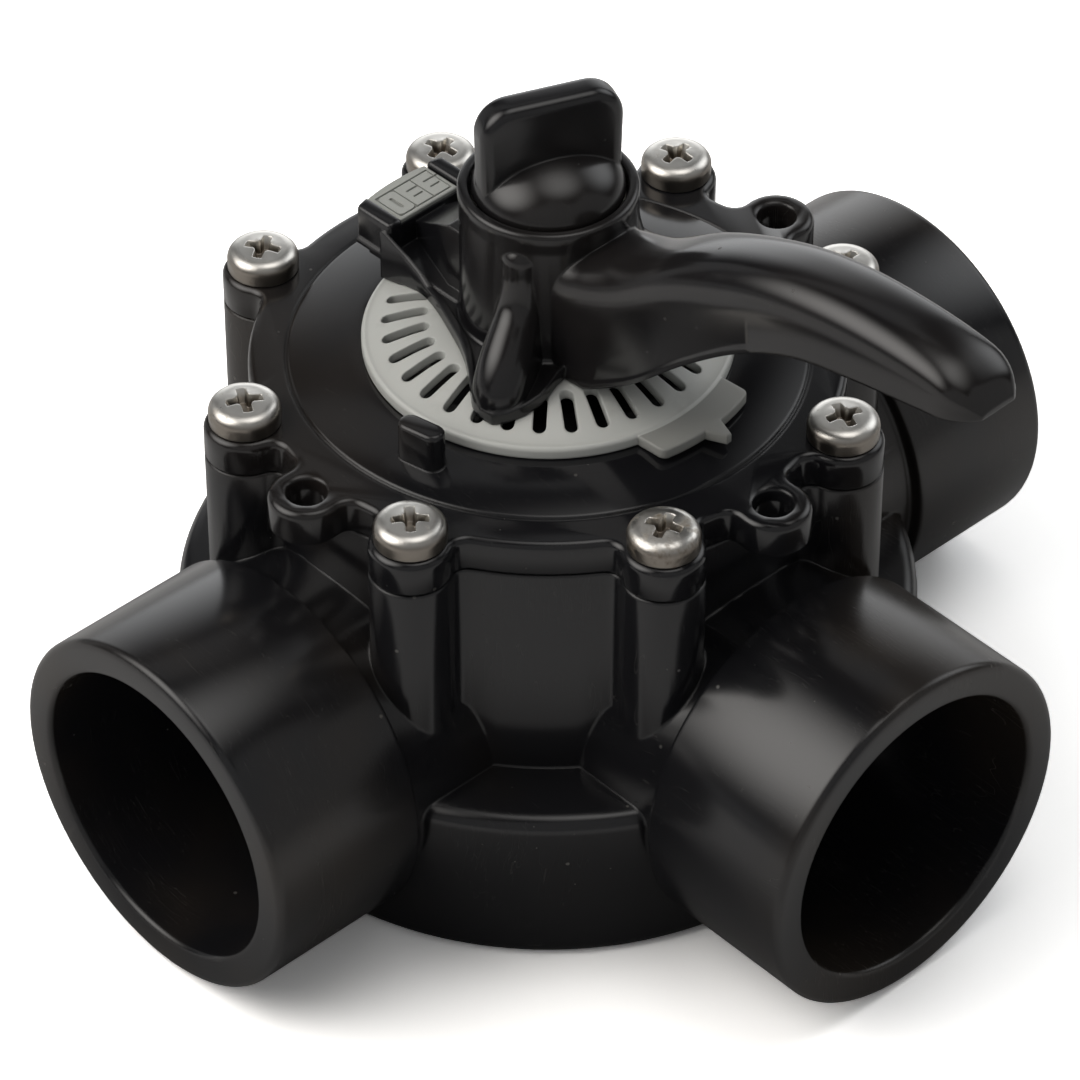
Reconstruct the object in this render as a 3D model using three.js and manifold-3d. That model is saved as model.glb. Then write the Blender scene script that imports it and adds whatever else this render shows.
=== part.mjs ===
// Three-way diverter valve for 2 in pool pipe.
// Millimetres, +Z up. The origin is the centre of the base, on the valve's turning axis.
// The through run lies along X, the branch port points to -Y and the blank side to +Y.
import * as THREE from 'three';
import { ConvexGeometry } from 'three/addons/geometries/ConvexGeometry.js';
import { mergeVertices } from 'three/addons/utils/BufferGeometryUtils.js';
import Module from 'manifold-3d';

const wasm = await Module();
wasm.setup();

// ---------------------------------------------------------------- driving dimensions

const GAP = 0.3; // between pieces that touch
const RUNNING_GAP = 0.35; // between pieces that turn in each other
const LAP = 1; // how far a cut runs past its piece, or a joined shape runs into it

const PORT_HEIGHT = 38; // base to the ports' axes
const PORT_REACH = 102.4; // valve axis to each port's face
const PORT_ANGLES = [180, 270, 0];
const TUBE_WALL = 7.1;
const TUBE_END_REACH = 67.5; // where the thicker tube steps down to the neck
const TUBE_EDGE_RADIUS = 1.6;
const NECK_STEP = 2.8; // from the thicker tube's outside in to the neck's
const SOCKET_BORE = 60.4;
const SOCKET_DEPTH = 38.1;
const SOCKET_CHAMFER = 0.8;
const WATERWAY_BORE = 52.5;

const BARREL_RADIUS = 57.6;
const BARREL_TOP = 88;
const BARREL_WALL = 5.1;
const FLOOR_THICKNESS = 6;
const DRUM_TOP = 39.5;
const DRUM_RADIUS = 73.2;
const DRUM_BASE_RADIUS = 68.8;
const DRUM_EDGE_RADIUS = 3.2;
const DRUM_FOOT_RADIUS = 3;
const DRUM_WALL = 4.5;
const RIB_THICKNESS = 3.2;
const RIB_ANGLES = [45, 90, 135, 225, 315];
const PIVOT_RADIUS = 6;
const PIVOT_BOSS_RADIUS = 11;
const PIVOT_BOSS_HEIGHT = 8;

const SCREW_COUNT = 8;
const SCREW_FIRST_ANGLE = 22.5;
const SCREW_CIRCLE_OFFSET = 3.5; // outside the barrel
const BOSS_RADIUS = 8;
const LOBE_FILLET = 3;
const SCREW_HEAD_RADIUS = 7;
const SCREW_HEAD_HEIGHT = 4.9;
const SCREW_HEAD_SIDE = 2.2; // height of the head's straight side
const SCREW_HEAD_SHOULDER = [0.88, 0.816]; // shares of its radius and height, rounded over there
const SCREW_HEAD_FLAT = 0.55; // share of its radius
const SCREW_TIP_RADIUS = 1.3;
const SCREW_SHANK_RADIUS = 3.15;
const SCREW_LENGTH = 29;
const SCREW_CLEARANCE = 0.45;
const RECESS_SPAN = 7.4;
const RECESS_WIDTH = 1.9;
const RECESS_DEPTH = 2.6;
const RECESS_TURNS = [8, 12, 30, 62, 50, 24, 72, 5]; // each screw stopped where it was tight

const LID_THICKNESS = 7.2;
const LID_EDGE = 1.2;
const EAR_ANGLES = [0, 180, 270];
const EAR_CIRCLE_OFFSET = 3.9; // outside the barrel
const EAR_WALL = 3.65;
const EAR_HOLE_RADIUS = 3.75;
const EAR_HOLE_CHAMFER = 0.8;
const CROWN_OUTER_RADIUS = 50; // the lid rises inside this radius
const CROWN_INNER_RADIUS = 36.4;
const CROWN_HEIGHT = 2.3;
const LID_PLATE = 6;
const SPIGOT_DEPTH = 9;
const SPIGOT_WALL = 6;
const SEAL_CORD = 3.4; // O-ring section diameters
const SHAFT_SEAL_CORD = 2.6;
const HOUSING_WALL = 4.15;
const HOUSING_RISE = 3;
const HOUSING_DROP = 12;
const SHAFT_SEAL_INSETS = [7, 6]; // from the housing's lower and upper ends
const POST_ANGLE = 192.6;
const POST_CIRCLE_RADIUS = 41.7;
const POST_LENGTH = 9.8;
const POST_THICKNESS = 4.7;
const POST_TOP = 105;
const POST_EDGE = 0.8;

const RING_RADIUS = 35.8;
const RING_SHOULDER_RADIUS = 34.8;
const RING_FLAT_RADIUS = 20;
const RING_EDGE_RADIUS = 0.8;
const RING_EDGE_HEIGHT = 2.3;
const RING_CROWN_HEIGHT = 6.1;
const RING_THICKNESS = 2.1;
const RING_DOME_POWER = 1.35;
const TAB_LAP = 2; // how far the tab runs in under the ring's shoulder
const RING_TURN = 274.6; // where the arrow tab points
const SLOT_COUNT = 32;
const SLOT_WIDTH = 2.6;
const SLOT_INNER_RADIUS = 22.8;
const SLOT_OUTER_RADIUS = 32;
const TAB_RADIUS = 42;
const TAB_HALF_WIDTH = 12;
const TAB_THICKNESS = 2.1;
const TAB_CORNER = 1.6;
const ARROW_REACH = 46;
const ARROW_HALF_WIDTH = 2.3;
const ARROW_TIP_HALF_WIDTH = 0.6;

const SHAFT_RADIUS = 9.5;
const DRIVE_HEIGHT = 8;
const STUD_RADIUS = 5.9;
const STUD_LENGTH = 15.1;
const ROTOR_INSET = 3; // from the chamber's wall, for the face seal
const ROTOR_SHELL = 4;
const ROTOR_HALF_ANGLE = 42;
const ROTOR_MARGIN = 0.8; // round the face seal
const ROTOR_CLEARANCE = 0.5; // above the pivot boss
const ROTOR_PLATE = 4;
const ROTOR_PLATE_OFFSET = 20; // from the ports' height
const ROTOR_PLATE_INSET = 10; // degrees inside the paddle's ends
const COLLAR_THICKNESS = 4;
const FACE_SEAL_WIDTH = 3.4;
const FACE_SEAL_MARGIN = 0.95; // round the waterway
const FACE_SEAL_DEPTH = 1.8;
const WASHER_THICKNESS = 1.6;
const WASHER_INSET = 0.6; // from the housing's rim

const HANDLE_TURN = 271.5; // where the lever points
const HUB_RADIUS = 16.9;
const HUB_HEIGHT = 31.4;
const HUB_LIP = 0.3; // outside the hub
const HUB_LIP_HEIGHT = 4.2;
const HUB_LIP_EDGE = 1.1;
const HUB_BORE_RADIUS = 11.2;
const HUB_RIM_WALL = 1.9; // round the knob's seat
const KNOB_SEAT_DEPTH = 3.8;
const FOOT_THICKNESS = 2.1;
const FINGER_ANGLE = 65; // each side of the lever
const FINGER_REACH = 25.8; // of its foot's middle
const FINGER_RADIUS = 5.4; // of its foot
const FINGER_DEPTH = 11; // how far each point of its back runs in towards the hub
const SKIRT_THICKNESS = 2.7;
const SKIRT_TOE_RADIUS = 5.8;
const SKIRT_RIM = 1.5;
const LUG_WIDTH = 1.9;
const LUG_LENGTH = 4;
const LUG_DEPTH = 1.9;
const ARM_REACH = 113;
const ARM_ROOT = 9;
const ARM_ROOT_HALF_WIDTH = 11.4;
const ARM_END_HALF_WIDTH = 8;
const ARM_WALL = 3;
const ARM_EDGE = 3.8;
const ARM_TIP_LENGTH = 8;
const ARM_TIP_SQUARENESS = 0.75; // share of its width that the tip loses, squared
const ARM_TAPER_POWER = 0.8;
const ARM_BLANK_DROP = 15.2; // how far the lever's blank runs below its trimmed underside
const OFF_ARM_HALF_WIDTH = 12;
const OFF_ARM_REACH = 42.4;
const CHEEK_THICKNESS = 3.5;
const CHEEK_LENGTH = 10.6;
const CHEEK_TOP = 9; // above the handle's foot
const FLANK_HEIGHT = 5.3; // of the arm's side walls at the label's block, falling to the plate at the hub
const GUSSET_ROOT_HALF_WIDTH = 9.5;
const GUSSET_END_HALF_WIDTH = 3.7;
const GUSSET_ROOT_HEIGHT = 16.4;
const LABEL_HALF_WIDTH = 7.6;
const LABEL_INNER_RADIUS = 32.8;
const LABEL_THICKNESS = 1.6;
const LABEL_SINK = 1.2; // below the cheeks' tops
const LABEL_OVERHANG = 0.3;
const LETTER_HEIGHT = 6;
const LETTER_WIDTH = 3.9;
const LETTER_STROKE = 1.2;
const LETTER_RELIEF = 0.4;
const LETTER_PITCH = 4.5;

const KNOB_TURN = 337.7; // where the grip's plane points
const KNOB_CAP_CLEARANCE = 0.4; // in its seat
const KNOB_CAP_EDGE = 0.6; // straight side under the dome
const KNOB_DOME_HEIGHT = 9.2;
const KNOB_SLEEVE_CLEARANCE = 0.8; // in the hub's bore
const KNOB_SLEEVE_LENGTH = 16;
const GRIP_INSET = 0.4; // from the cap's edge
const GRIP_THICKNESS = 7;
const GRIP_TOP = 22.2; // above the cap's lower face
const GRIP_CORNER = 6.5;
const GRIP_EDGE = 2.2;
const GRIP_FOOT_INSET = 0.8;
const GRIP_LIFT = 0.5; // the grip's outline starts this far above the cap's lower face

// ---------------------------------------------------------------- places worked out from them

const TUBE_DIAMETER = SOCKET_BORE + 2 * TUBE_WALL;
const NECK_DIAMETER = TUBE_DIAMETER - 2 * NECK_STEP;
const CHAMBER_RADIUS = BARREL_RADIUS - BARREL_WALL;
const SCREW_CIRCLE_RADIUS = BARREL_RADIUS + SCREW_CIRCLE_OFFSET;
const EAR_CIRCLE_RADIUS = BARREL_RADIUS + EAR_CIRCLE_OFFSET;
const EAR_RADIUS = EAR_HOLE_RADIUS + EAR_WALL;
const LID_BASE = BARREL_TOP + GAP;
const LID_TOP = LID_BASE + LID_THICKNESS;
const CROWN_TOP = LID_TOP + CROWN_HEIGHT;
const LID_UNDERSIDE = LID_TOP - LID_PLATE;
const HOUSING_TOP = CROWN_TOP + HOUSING_RISE;
const HOUSING_BASE = LID_BASE - HOUSING_DROP;
const RING_BASE = CROWN_TOP + GAP;
const RING_TOP = RING_BASE + RING_CROWN_HEIGHT;
const FOOT_BASE = RING_TOP + GAP;
const HUB_TOP = FOOT_BASE + HUB_HEIGHT;
const KNOB_SEAT = HUB_TOP - KNOB_SEAT_DEPTH;
const KNOB_WASHER_BASE = KNOB_SEAT + GAP;
const KNOB_BASE = KNOB_WASHER_BASE + WASHER_THICKNESS + GAP;
const SCREW_SEAT = LID_TOP + GAP;
const CHAMBER_FLOOR = FLOOR_THICKNESS;
const PIVOT_TOP = CHAMBER_FLOOR + PIVOT_BOSS_HEIGHT;
const SHAFT_TOP = FOOT_BASE - GAP;
const STUD_BASE = FOOT_BASE + DRIVE_HEIGHT;
const DRIVE_HALF = SHAFT_RADIUS * Math.SQRT1_2; // the drive square's corners reach the shaft's edge
const SHAFT_BORE_RADIUS = SHAFT_RADIUS + RUNNING_GAP;
const HOUSING_RADIUS = SHAFT_BORE_RADIUS + HOUSING_WALL;
const WASHER_RADIUS = HOUSING_RADIUS - WASHER_INSET;
const ROTOR_RADIUS = CHAMBER_RADIUS - ROTOR_INSET;
const FACE_SEAL_BORE = WATERWAY_BORE / 2 + FACE_SEAL_MARGIN;
const FACE_SEAL_RADIUS = FACE_SEAL_BORE + FACE_SEAL_WIDTH;
const ROTOR_HALF_HEIGHT = FACE_SEAL_RADIUS + ROTOR_MARGIN;
const HUB_LIP_RADIUS = HUB_RADIUS + HUB_LIP;
const KNOB_SEAT_RADIUS = HUB_RADIUS - HUB_RIM_WALL;
const KNOB_CAP_RADIUS = KNOB_SEAT_RADIUS - KNOB_CAP_CLEARANCE;
const KNOB_SLEEVE_RADIUS = HUB_BORE_RADIUS - KNOB_SLEEVE_CLEARANCE;
const GRIP_WIDTH = 2 * (KNOB_CAP_RADIUS - GRIP_INSET);
const GRIP_FOOT_WIDTH = GRIP_WIDTH - GRIP_FOOT_INSET;
const SPIGOT_RADIUS = CHAMBER_RADIUS - GAP;
const TUBE_RADIUS = TUBE_DIAMETER / 2;
const SLOT_PITCH = 360 / SLOT_COUNT;
const RING_BORE_RADIUS = HOUSING_RADIUS + RUNNING_GAP;
const SEAL_HEIGHT = LID_BASE - SPIGOT_DEPTH / 2;
const COLLAR_TOP = HOUSING_BASE - WASHER_THICKNESS - 2 * GAP;
const SHAFT_SEAL_RADIUS = SHAFT_BORE_RADIUS - GAP - SHAFT_SEAL_CORD / 2;
const SHAFT_SEAL_HEIGHTS = [HOUSING_BASE + SHAFT_SEAL_INSETS[0], HOUSING_TOP - SHAFT_SEAL_INSETS[1]];
const PADDLE_TURN = HANDLE_TURN + 180;
const FACE_SEAL_FLOOR = ROTOR_RADIUS - FACE_SEAL_DEPTH;
const CHEEK_SUMMIT = FOOT_BASE + CHEEK_TOP;
const LABEL_TOP = CHEEK_SUMMIT - LABEL_SINK;
const LABEL_BASE = LABEL_TOP - LABEL_THICKNESS;
const GRIP_SUMMIT = KNOB_BASE + GRIP_TOP;

const FINE = 56; // facets round a large, a medium and a small circle
const MEDIUM = 30;
const COARSE = 16;
const SEAL_FACETS = [6, 48]; // round an O-ring's section and along it
const SHAFT_SEAL_FACETS = [6, 24];
const ARC_STEP = 30; // degrees per facet of an outline's small arcs
const ROUNDING_STEP = 45;
const OBROUND_STEP = 60;
const WIDE_ARC_STEP = 360 / FINE;
const EDGE_FACETS = 2; // across a rounded edge
const LEVER_EDGE_FACETS = 3;
const CREST_POINTS = 16; // along each of the lever's curves
const UNDERSIDE_POINTS = 10;
const DOME_STEPS = 4; // from the stop ring's flat to its shoulder
const CAP_DOME_STEP = 18; // degrees between the corners of the knob cap's dome
const FINGER_FACETS = [12, 8]; // round and along each ball of a finger
const FINGER_STEPS = 8;
const SKIRT_POINTS = 8; // along each of the skirt's curves

// ---------------------------------------------------------------- materials

const blackPlastic = (name) => new THREE.MeshStandardMaterial({
  name, color: 0x15161a, roughness: 0.22, metalness: 0,
});
const greyPlastic = (name, color) => new THREE.MeshStandardMaterial({
  name, color, roughness: 0.3, metalness: 0,
});
const materials = {
  body: blackPlastic('body_plastic'),
  lid: blackPlastic('lid_plastic'),
  handle: blackPlastic('handle_plastic'),
  knob: blackPlastic('knob_plastic'),
  ring: greyPlastic('ring_plastic', 0xc6c8c2),
  label: greyPlastic('label_plastic', 0xb2b4ae),
  rotor: greyPlastic('rotor_plastic', 0x3a3c40),
  rubber: new THREE.MeshStandardMaterial({ name: 'rubber', color: 0x1b1b1b, roughness: 0.75 }),
  washer: greyPlastic('washer_nylon', 0xe2e0d8),
  steel: new THREE.MeshStandardMaterial({
    name: 'stainless_steel', color: 0xc9c4bb, roughness: 0.28, metalness: 1,
  }),
};

// ---------------------------------------------------------------- geometry helpers

const radians = THREE.MathUtils.degToRad;
const polar = (radius, degrees) => new THREE.Vector2(
  radius * Math.cos(radians(degrees)),
  radius * Math.sin(radians(degrees)),
);

function solid(geometry) {
  const bare = geometry.clone();
  bare.deleteAttribute('normal');
  bare.deleteAttribute('uv');
  const merged = mergeVertices(bare, 1e-4);
  return new wasm.Manifold(new wasm.Mesh({
    numProp: 3,
    vertProperties: new Float32Array(merged.attributes.position.array),
    triVerts: new Uint32Array(merged.index.array),
  }));
}

const join = (pieces) => pieces.reduce((whole, piece) => whole.add(piece));
const cut = (piece, tools) => tools.reduce((rest, tool) => rest.subtract(tool), piece);

function piece(name, body, material) {
  const { vertProperties, triVerts } = body.getMesh();
  const geometry = new THREE.BufferGeometry();
  geometry.setAttribute('position', new THREE.BufferAttribute(vertProperties, 3));
  geometry.setIndex(new THREE.BufferAttribute(triVerts, 1));
  geometry.computeVertexNormals();
  const mesh = new THREE.Mesh(geometry, material);
  mesh.name = name;
  return mesh;
}

// A profile of [radius, height] pairs spun about Z.
function spun(profile, segments) {
  const points = profile.map(([radius, height]) => new THREE.Vector2(radius, height));
  return new THREE.LatheGeometry(points, segments).rotateX(Math.PI / 2);
}
const spin = (profile, segments = FINE) => solid(spun(profile, segments));

// The same profile lying along a port: height becomes the reach from the valve's axis.
function spinAlongPort(profile, degrees, segments = MEDIUM) {
  const geometry = spun(profile, segments);
  geometry.rotateY(Math.PI / 2).rotateZ(radians(degrees)).translate(0, 0, PORT_HEIGHT);
  return solid(geometry);
}

const disc = (radius, base, top, segments = FINE) => spin(
  [[0, base], [radius, base], [radius, top], [0, top]],
  segments,
);

const tube = (inner, outer, base, top, segments = FINE) => spin(
  [[inner, base], [outer, base], [outer, top], [inner, top], [inner, base]],
  segments,
);

const torus = (ringRadius, cordRadius, height, [around, along]) => solid(
  new THREE.TorusGeometry(ringRadius, cordRadius, around, along).translate(0, 0, height),
);

function prismGeometry(outline, base, top, options = {}) {
  const shape = outline instanceof THREE.Shape ? outline : new THREE.Shape(outline);
  return new THREE.ExtrudeGeometry(shape, {
    depth: top - base, bevelEnabled: false, curveSegments: 6, ...options,
  }).translate(0, 0, base);
}
const prism = (outline, base, top, options) => solid(prismGeometry(outline, base, top, options));

// A prism whose outline is drawn in the X-Z plane and that is as wide as given along Y.
function uprightPrism(outline, halfWidth) {
  const geometry = prismGeometry(outline, -halfWidth, halfWidth);
  return solid(geometry.rotateX(Math.PI / 2));
}

const rectangle = (x0, y0, x1, y1) => [
  new THREE.Vector2(x0, y0),
  new THREE.Vector2(x1, y0),
  new THREE.Vector2(x1, y1),
  new THREE.Vector2(x0, y1),
];

const block = (x0, x1, y0, y1, z0, z1) => prism(rectangle(x0, y0, x1, y1), z0, z1);

// Points of an arc from one direction to another, in degrees; a falling range runs clockwise.
function arc(centre, radius, from, to, step = ARC_STEP) {
  const count = Math.max(1, Math.ceil(Math.abs(to - from) / step));
  return Array.from({ length: count + 1 }, (_, i) => (
    polar(radius, from + ((to - from) * i) / count).add(centre)
  ));
}

// A disc's outline with round lobes on it and a fillet each side of every lobe. In the triangle of
// the disc's, the lobe's and the fillet's centres, `atDisc` and `atLobe` are the corner angles.
function lobedOutline(radius, lobes) {
  const corner = (near, other, opposite) => THREE.MathUtils.radToDeg(
    Math.acos((near ** 2 + other ** 2 - opposite ** 2) / (2 * near * other)),
  );
  const placed = [...lobes].sort((a, b) => a.angle - b.angle).map((lobe) => {
    const toDisc = radius + LOBE_FILLET;
    const toLobe = lobe.radius + LOBE_FILLET;
    return {
      ...lobe,
      toDisc,
      atDisc: corner(toDisc, lobe.reach, toLobe),
      atLobe: corner(toLobe, lobe.reach, toDisc),
    };
  });
  const centre = new THREE.Vector2();
  return placed.flatMap(({ angle, reach, radius: lobeRadius, toDisc, atDisc, atLobe }, i) => {
    const last = i === placed.length - 1;
    const next = placed[last ? 0 : i + 1];
    const nextAngle = next.angle - next.atDisc + (last ? 360 : 0);
    const entry = arc(polar(toDisc, angle - atDisc), LOBE_FILLET, angle - atDisc + 180, angle + atLobe);
    const lobe = arc(polar(reach, angle), lobeRadius, angle - 180 + atLobe, angle + 180 - atLobe);
    const exit = arc(polar(toDisc, angle + atDisc), LOBE_FILLET, angle - atLobe, angle + atDisc - 180);
    const disc = arc(centre, radius, angle + atDisc, nextAngle, WIDE_ARC_STEP);
    return [...entry, ...lobe.slice(1), ...exit.slice(1), ...disc.slice(1, -1)];
  });
}

// A plate whose upper edge is rounded.
function roundedPlate(outline, base, top, edge) {
  const raised = prism(outline, base, top - edge, {
    bevelEnabled: true, bevelThickness: edge, bevelSize: edge, bevelOffset: -edge,
    bevelSegments: EDGE_FACETS,
  });
  const reach = 2 * BARREL_RADIUS;
  return raised.subtract(block(-reach, reach, -reach, reach, base - 2 * edge, base));
}

const lobesAt = (angles, reach, radius) => angles.map((angle) => ({ angle, reach, radius }));
const aroundCircle = (angles, reach, make) => angles.map((angle) => {
  const { x, y } = polar(reach, angle);
  return make(angle).translate([x, y, 0]);
});
const around = (angles, make) => angles.map((angle) => make(angle).rotate([0, 0, angle]));

const SCREW_ANGLES = Array.from({ length: SCREW_COUNT }, (_, i) => (
  SCREW_FIRST_ANGLE + (i * 360) / SCREW_COUNT
));
const BOSSES = lobesAt(SCREW_ANGLES, SCREW_CIRCLE_RADIUS, BOSS_RADIUS);
const EARS = lobesAt(EAR_ANGLES, EAR_CIRCLE_RADIUS, EAR_RADIUS);

// ---------------------------------------------------------------- body

// Quarter turn of an edge's rounding, from one direction to the next, as profile points.
const rounding = (radius, height, edge, from, to) => (
  arc(new THREE.Vector2(radius, height), edge, from, to, ROUNDING_STEP).map(({ x, y }) => [x, y])
);

function drum() {
  const shell = spin([
    [0, 0],
    ...rounding(DRUM_BASE_RADIUS - DRUM_FOOT_RADIUS, DRUM_FOOT_RADIUS, DRUM_FOOT_RADIUS, 270, 360),
    ...rounding(DRUM_RADIUS - DRUM_EDGE_RADIUS, DRUM_TOP - DRUM_EDGE_RADIUS, DRUM_EDGE_RADIUS, 0, 90),
    [0, DRUM_TOP],
  ]);
  const pocket = spin([
    [BARREL_RADIUS, -LAP],
    [DRUM_BASE_RADIUS - DRUM_WALL, -LAP],
    [DRUM_RADIUS - DRUM_WALL, DRUM_TOP - DRUM_WALL],
    [BARREL_RADIUS, DRUM_TOP - DRUM_WALL],
    [BARREL_RADIUS, -LAP],
  ]);
  const ribs = around(RIB_ANGLES, () => block(
    BARREL_RADIUS - LAP, DRUM_RADIUS - DRUM_WALL + LAP / 2,
    -RIB_THICKNESS / 2, RIB_THICKNESS / 2,
    DRUM_FOOT_RADIUS, DRUM_TOP - LAP,
  ));
  return join([shell.subtract(pocket), ...ribs]);
}

function portTube(angle) {
  return spinAlongPort([
    [0, BARREL_RADIUS - TUBE_RADIUS],
    [NECK_DIAMETER / 2, BARREL_RADIUS - TUBE_RADIUS],
    [NECK_DIAMETER / 2, TUBE_END_REACH],
    [TUBE_RADIUS, TUBE_END_REACH],
    ...rounding(TUBE_RADIUS - TUBE_EDGE_RADIUS, PORT_REACH - TUBE_EDGE_RADIUS, TUBE_EDGE_RADIUS, 0, 90),
    [0, PORT_REACH],
  ], angle);
}

function portBore(angle) {
  const socket = SOCKET_BORE / 2;
  return spinAlongPort([
    [0, CHAMBER_RADIUS - TUBE_RADIUS],
    [WATERWAY_BORE / 2, CHAMBER_RADIUS - TUBE_RADIUS],
    [WATERWAY_BORE / 2, PORT_REACH - SOCKET_DEPTH],
    [socket, PORT_REACH - SOCKET_DEPTH],
    [socket, PORT_REACH - SOCKET_CHAMFER],
    [socket + 2 * SOCKET_CHAMFER, PORT_REACH + SOCKET_CHAMFER],
    [0, PORT_REACH + SOCKET_CHAMFER],
  ], angle);
}

function valveBody() {
  const barrel = prism(lobedOutline(BARREL_RADIUS, BOSSES), DRUM_TOP - LAP, BARREL_TOP);
  const outside = join([drum(), barrel, ...PORT_ANGLES.map(portTube)]);
  const hollow = [disc(CHAMBER_RADIUS, CHAMBER_FLOOR, BARREL_TOP + LAP), ...PORT_ANGLES.map(portBore)];
  const pivotBoss = tube(
    PIVOT_RADIUS, PIVOT_BOSS_RADIUS, CHAMBER_FLOOR - LAP, PIVOT_TOP, MEDIUM,
  );
  const screwHoles = aroundCircle(SCREW_ANGLES, SCREW_CIRCLE_RADIUS, () => disc(
    SCREW_SHANK_RADIUS + GAP, SCREW_SEAT - SCREW_LENGTH - GAP, BARREL_TOP + LAP, COARSE,
  ));
  return cut(outside, [...hollow, ...screwHoles]).add(pivotBoss);
}

// ---------------------------------------------------------------- lid

const obround = (length, thickness) => {
  const half = (length - thickness) / 2;
  const end = thickness / 2;
  return [
    ...arc(new THREE.Vector2(0, half), end, 0, 180, OBROUND_STEP),
    ...arc(new THREE.Vector2(0, -half), end, 180, 360, OBROUND_STEP),
  ];
};

function stopPost() {
  const post = roundedPlate(obround(POST_LENGTH, POST_THICKNESS), LID_TOP - LAP, POST_TOP, POST_EDGE);
  return post.translate([POST_CIRCLE_RADIUS, 0, 0]).rotate([0, 0, POST_ANGLE]);
}

function earHole() {
  const flare = EAR_HOLE_RADIUS + EAR_HOLE_CHAMFER;
  return spin([
    [0, LID_BASE - LAP],
    [EAR_HOLE_RADIUS, LID_BASE - LAP],
    [EAR_HOLE_RADIUS, LID_TOP - EAR_HOLE_CHAMFER],
    [flare, LID_TOP],
    [flare, LID_TOP + LAP],
    [0, LID_TOP + LAP],
  ], COARSE);
}

function lid() {
  const grooveHalf = SEAL_CORD / 2 + GAP;
  const grooveFloor = SPIGOT_RADIUS - SEAL_CORD - GAP;
  const crown = spin([
    [0, LID_TOP - LAP],
    [CROWN_OUTER_RADIUS, LID_TOP - LAP],
    [CROWN_OUTER_RADIUS, LID_TOP],
    [CROWN_INNER_RADIUS, CROWN_TOP],
    [0, CROWN_TOP],
  ]);
  const outside = join([
    roundedPlate(lobedOutline(BARREL_RADIUS, [...BOSSES, ...EARS]), LID_BASE, LID_TOP, LID_EDGE),
    crown,
    tube(SPIGOT_RADIUS - SPIGOT_WALL, SPIGOT_RADIUS, LID_BASE - SPIGOT_DEPTH, LID_BASE + LAP),
    disc(HOUSING_RADIUS, HOUSING_BASE, HOUSING_TOP, MEDIUM),
    stopPost(),
  ]);
  return cut(outside, [
    tube(HOUSING_RADIUS, SPIGOT_RADIUS - SPIGOT_WALL, LID_BASE - LAP, LID_UNDERSIDE),
    tube(grooveFloor, SPIGOT_RADIUS + LAP, SEAL_HEIGHT - grooveHalf, SEAL_HEIGHT + grooveHalf),
    disc(SHAFT_BORE_RADIUS, HOUSING_BASE - LAP, HOUSING_TOP + LAP, MEDIUM),
    ...aroundCircle(SCREW_ANGLES, SCREW_CIRCLE_RADIUS, () => disc(
      SCREW_SHANK_RADIUS + SCREW_CLEARANCE, LID_BASE - LAP, LID_TOP + LAP, COARSE,
    )),
    ...aroundCircle(EAR_ANGLES, EAR_CIRCLE_RADIUS, earHole),
  ]);
}

const lidSeal = () => torus(SPIGOT_RADIUS - SEAL_CORD / 2, SEAL_CORD / 2, SEAL_HEIGHT, SEAL_FACETS);

// ---------------------------------------------------------------- screws

function screw(recessTurn) {
  const top = SCREW_SEAT + SCREW_HEAD_HEIGHT;
  const tip = SCREW_SEAT - SCREW_LENGTH;
  const head = spin([
    [0, tip],
    [SCREW_TIP_RADIUS, tip],
    [SCREW_SHANK_RADIUS, tip + SCREW_SHANK_RADIUS],
    [SCREW_SHANK_RADIUS, SCREW_SEAT],
    [SCREW_HEAD_RADIUS, SCREW_SEAT],
    [SCREW_HEAD_RADIUS, SCREW_SEAT + SCREW_HEAD_SIDE],
    [SCREW_HEAD_RADIUS * SCREW_HEAD_SHOULDER[0], SCREW_SEAT + SCREW_HEAD_HEIGHT * SCREW_HEAD_SHOULDER[1]],
    [SCREW_HEAD_RADIUS * SCREW_HEAD_FLAT, top],
    [0, top],
  ], COARSE);
  const slot = (turn) => block(
    -RECESS_SPAN / 2, RECESS_SPAN / 2, -RECESS_WIDTH / 2, RECESS_WIDTH / 2, top - RECESS_DEPTH, top + LAP,
  ).rotate([0, 0, turn]);
  return cut(head, [slot(recessTurn), slot(recessTurn + 90)]);
}

const screwPlaces = () => aroundCircle(SCREW_ANGLES, SCREW_CIRCLE_RADIUS, (angle) => (
  screw(RECESS_TURNS[SCREW_ANGLES.indexOf(angle)])
));

// ---------------------------------------------------------------- stop ring

// Height of the ring's domed top: flat at the middle, falling to its shoulder.
function ringTop(radius) {
  const fall = (RING_SHOULDER_RADIUS - radius) / (RING_SHOULDER_RADIUS - RING_FLAT_RADIUS);
  const quarter = (Math.PI / 2) * THREE.MathUtils.clamp(fall, 0, 1);
  const rise = (RING_CROWN_HEIGHT - RING_EDGE_HEIGHT) * Math.sin(quarter) ** RING_DOME_POWER;
  return RING_BASE + RING_EDGE_HEIGHT + rise;
}

const ringRadii = () => {
  const width = RING_SHOULDER_RADIUS - RING_FLAT_RADIUS;
  return Array.from({ length: DOME_STEPS + 1 }, (_, i) => RING_FLAT_RADIUS + (i * width) / DOME_STEPS);
};

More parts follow.
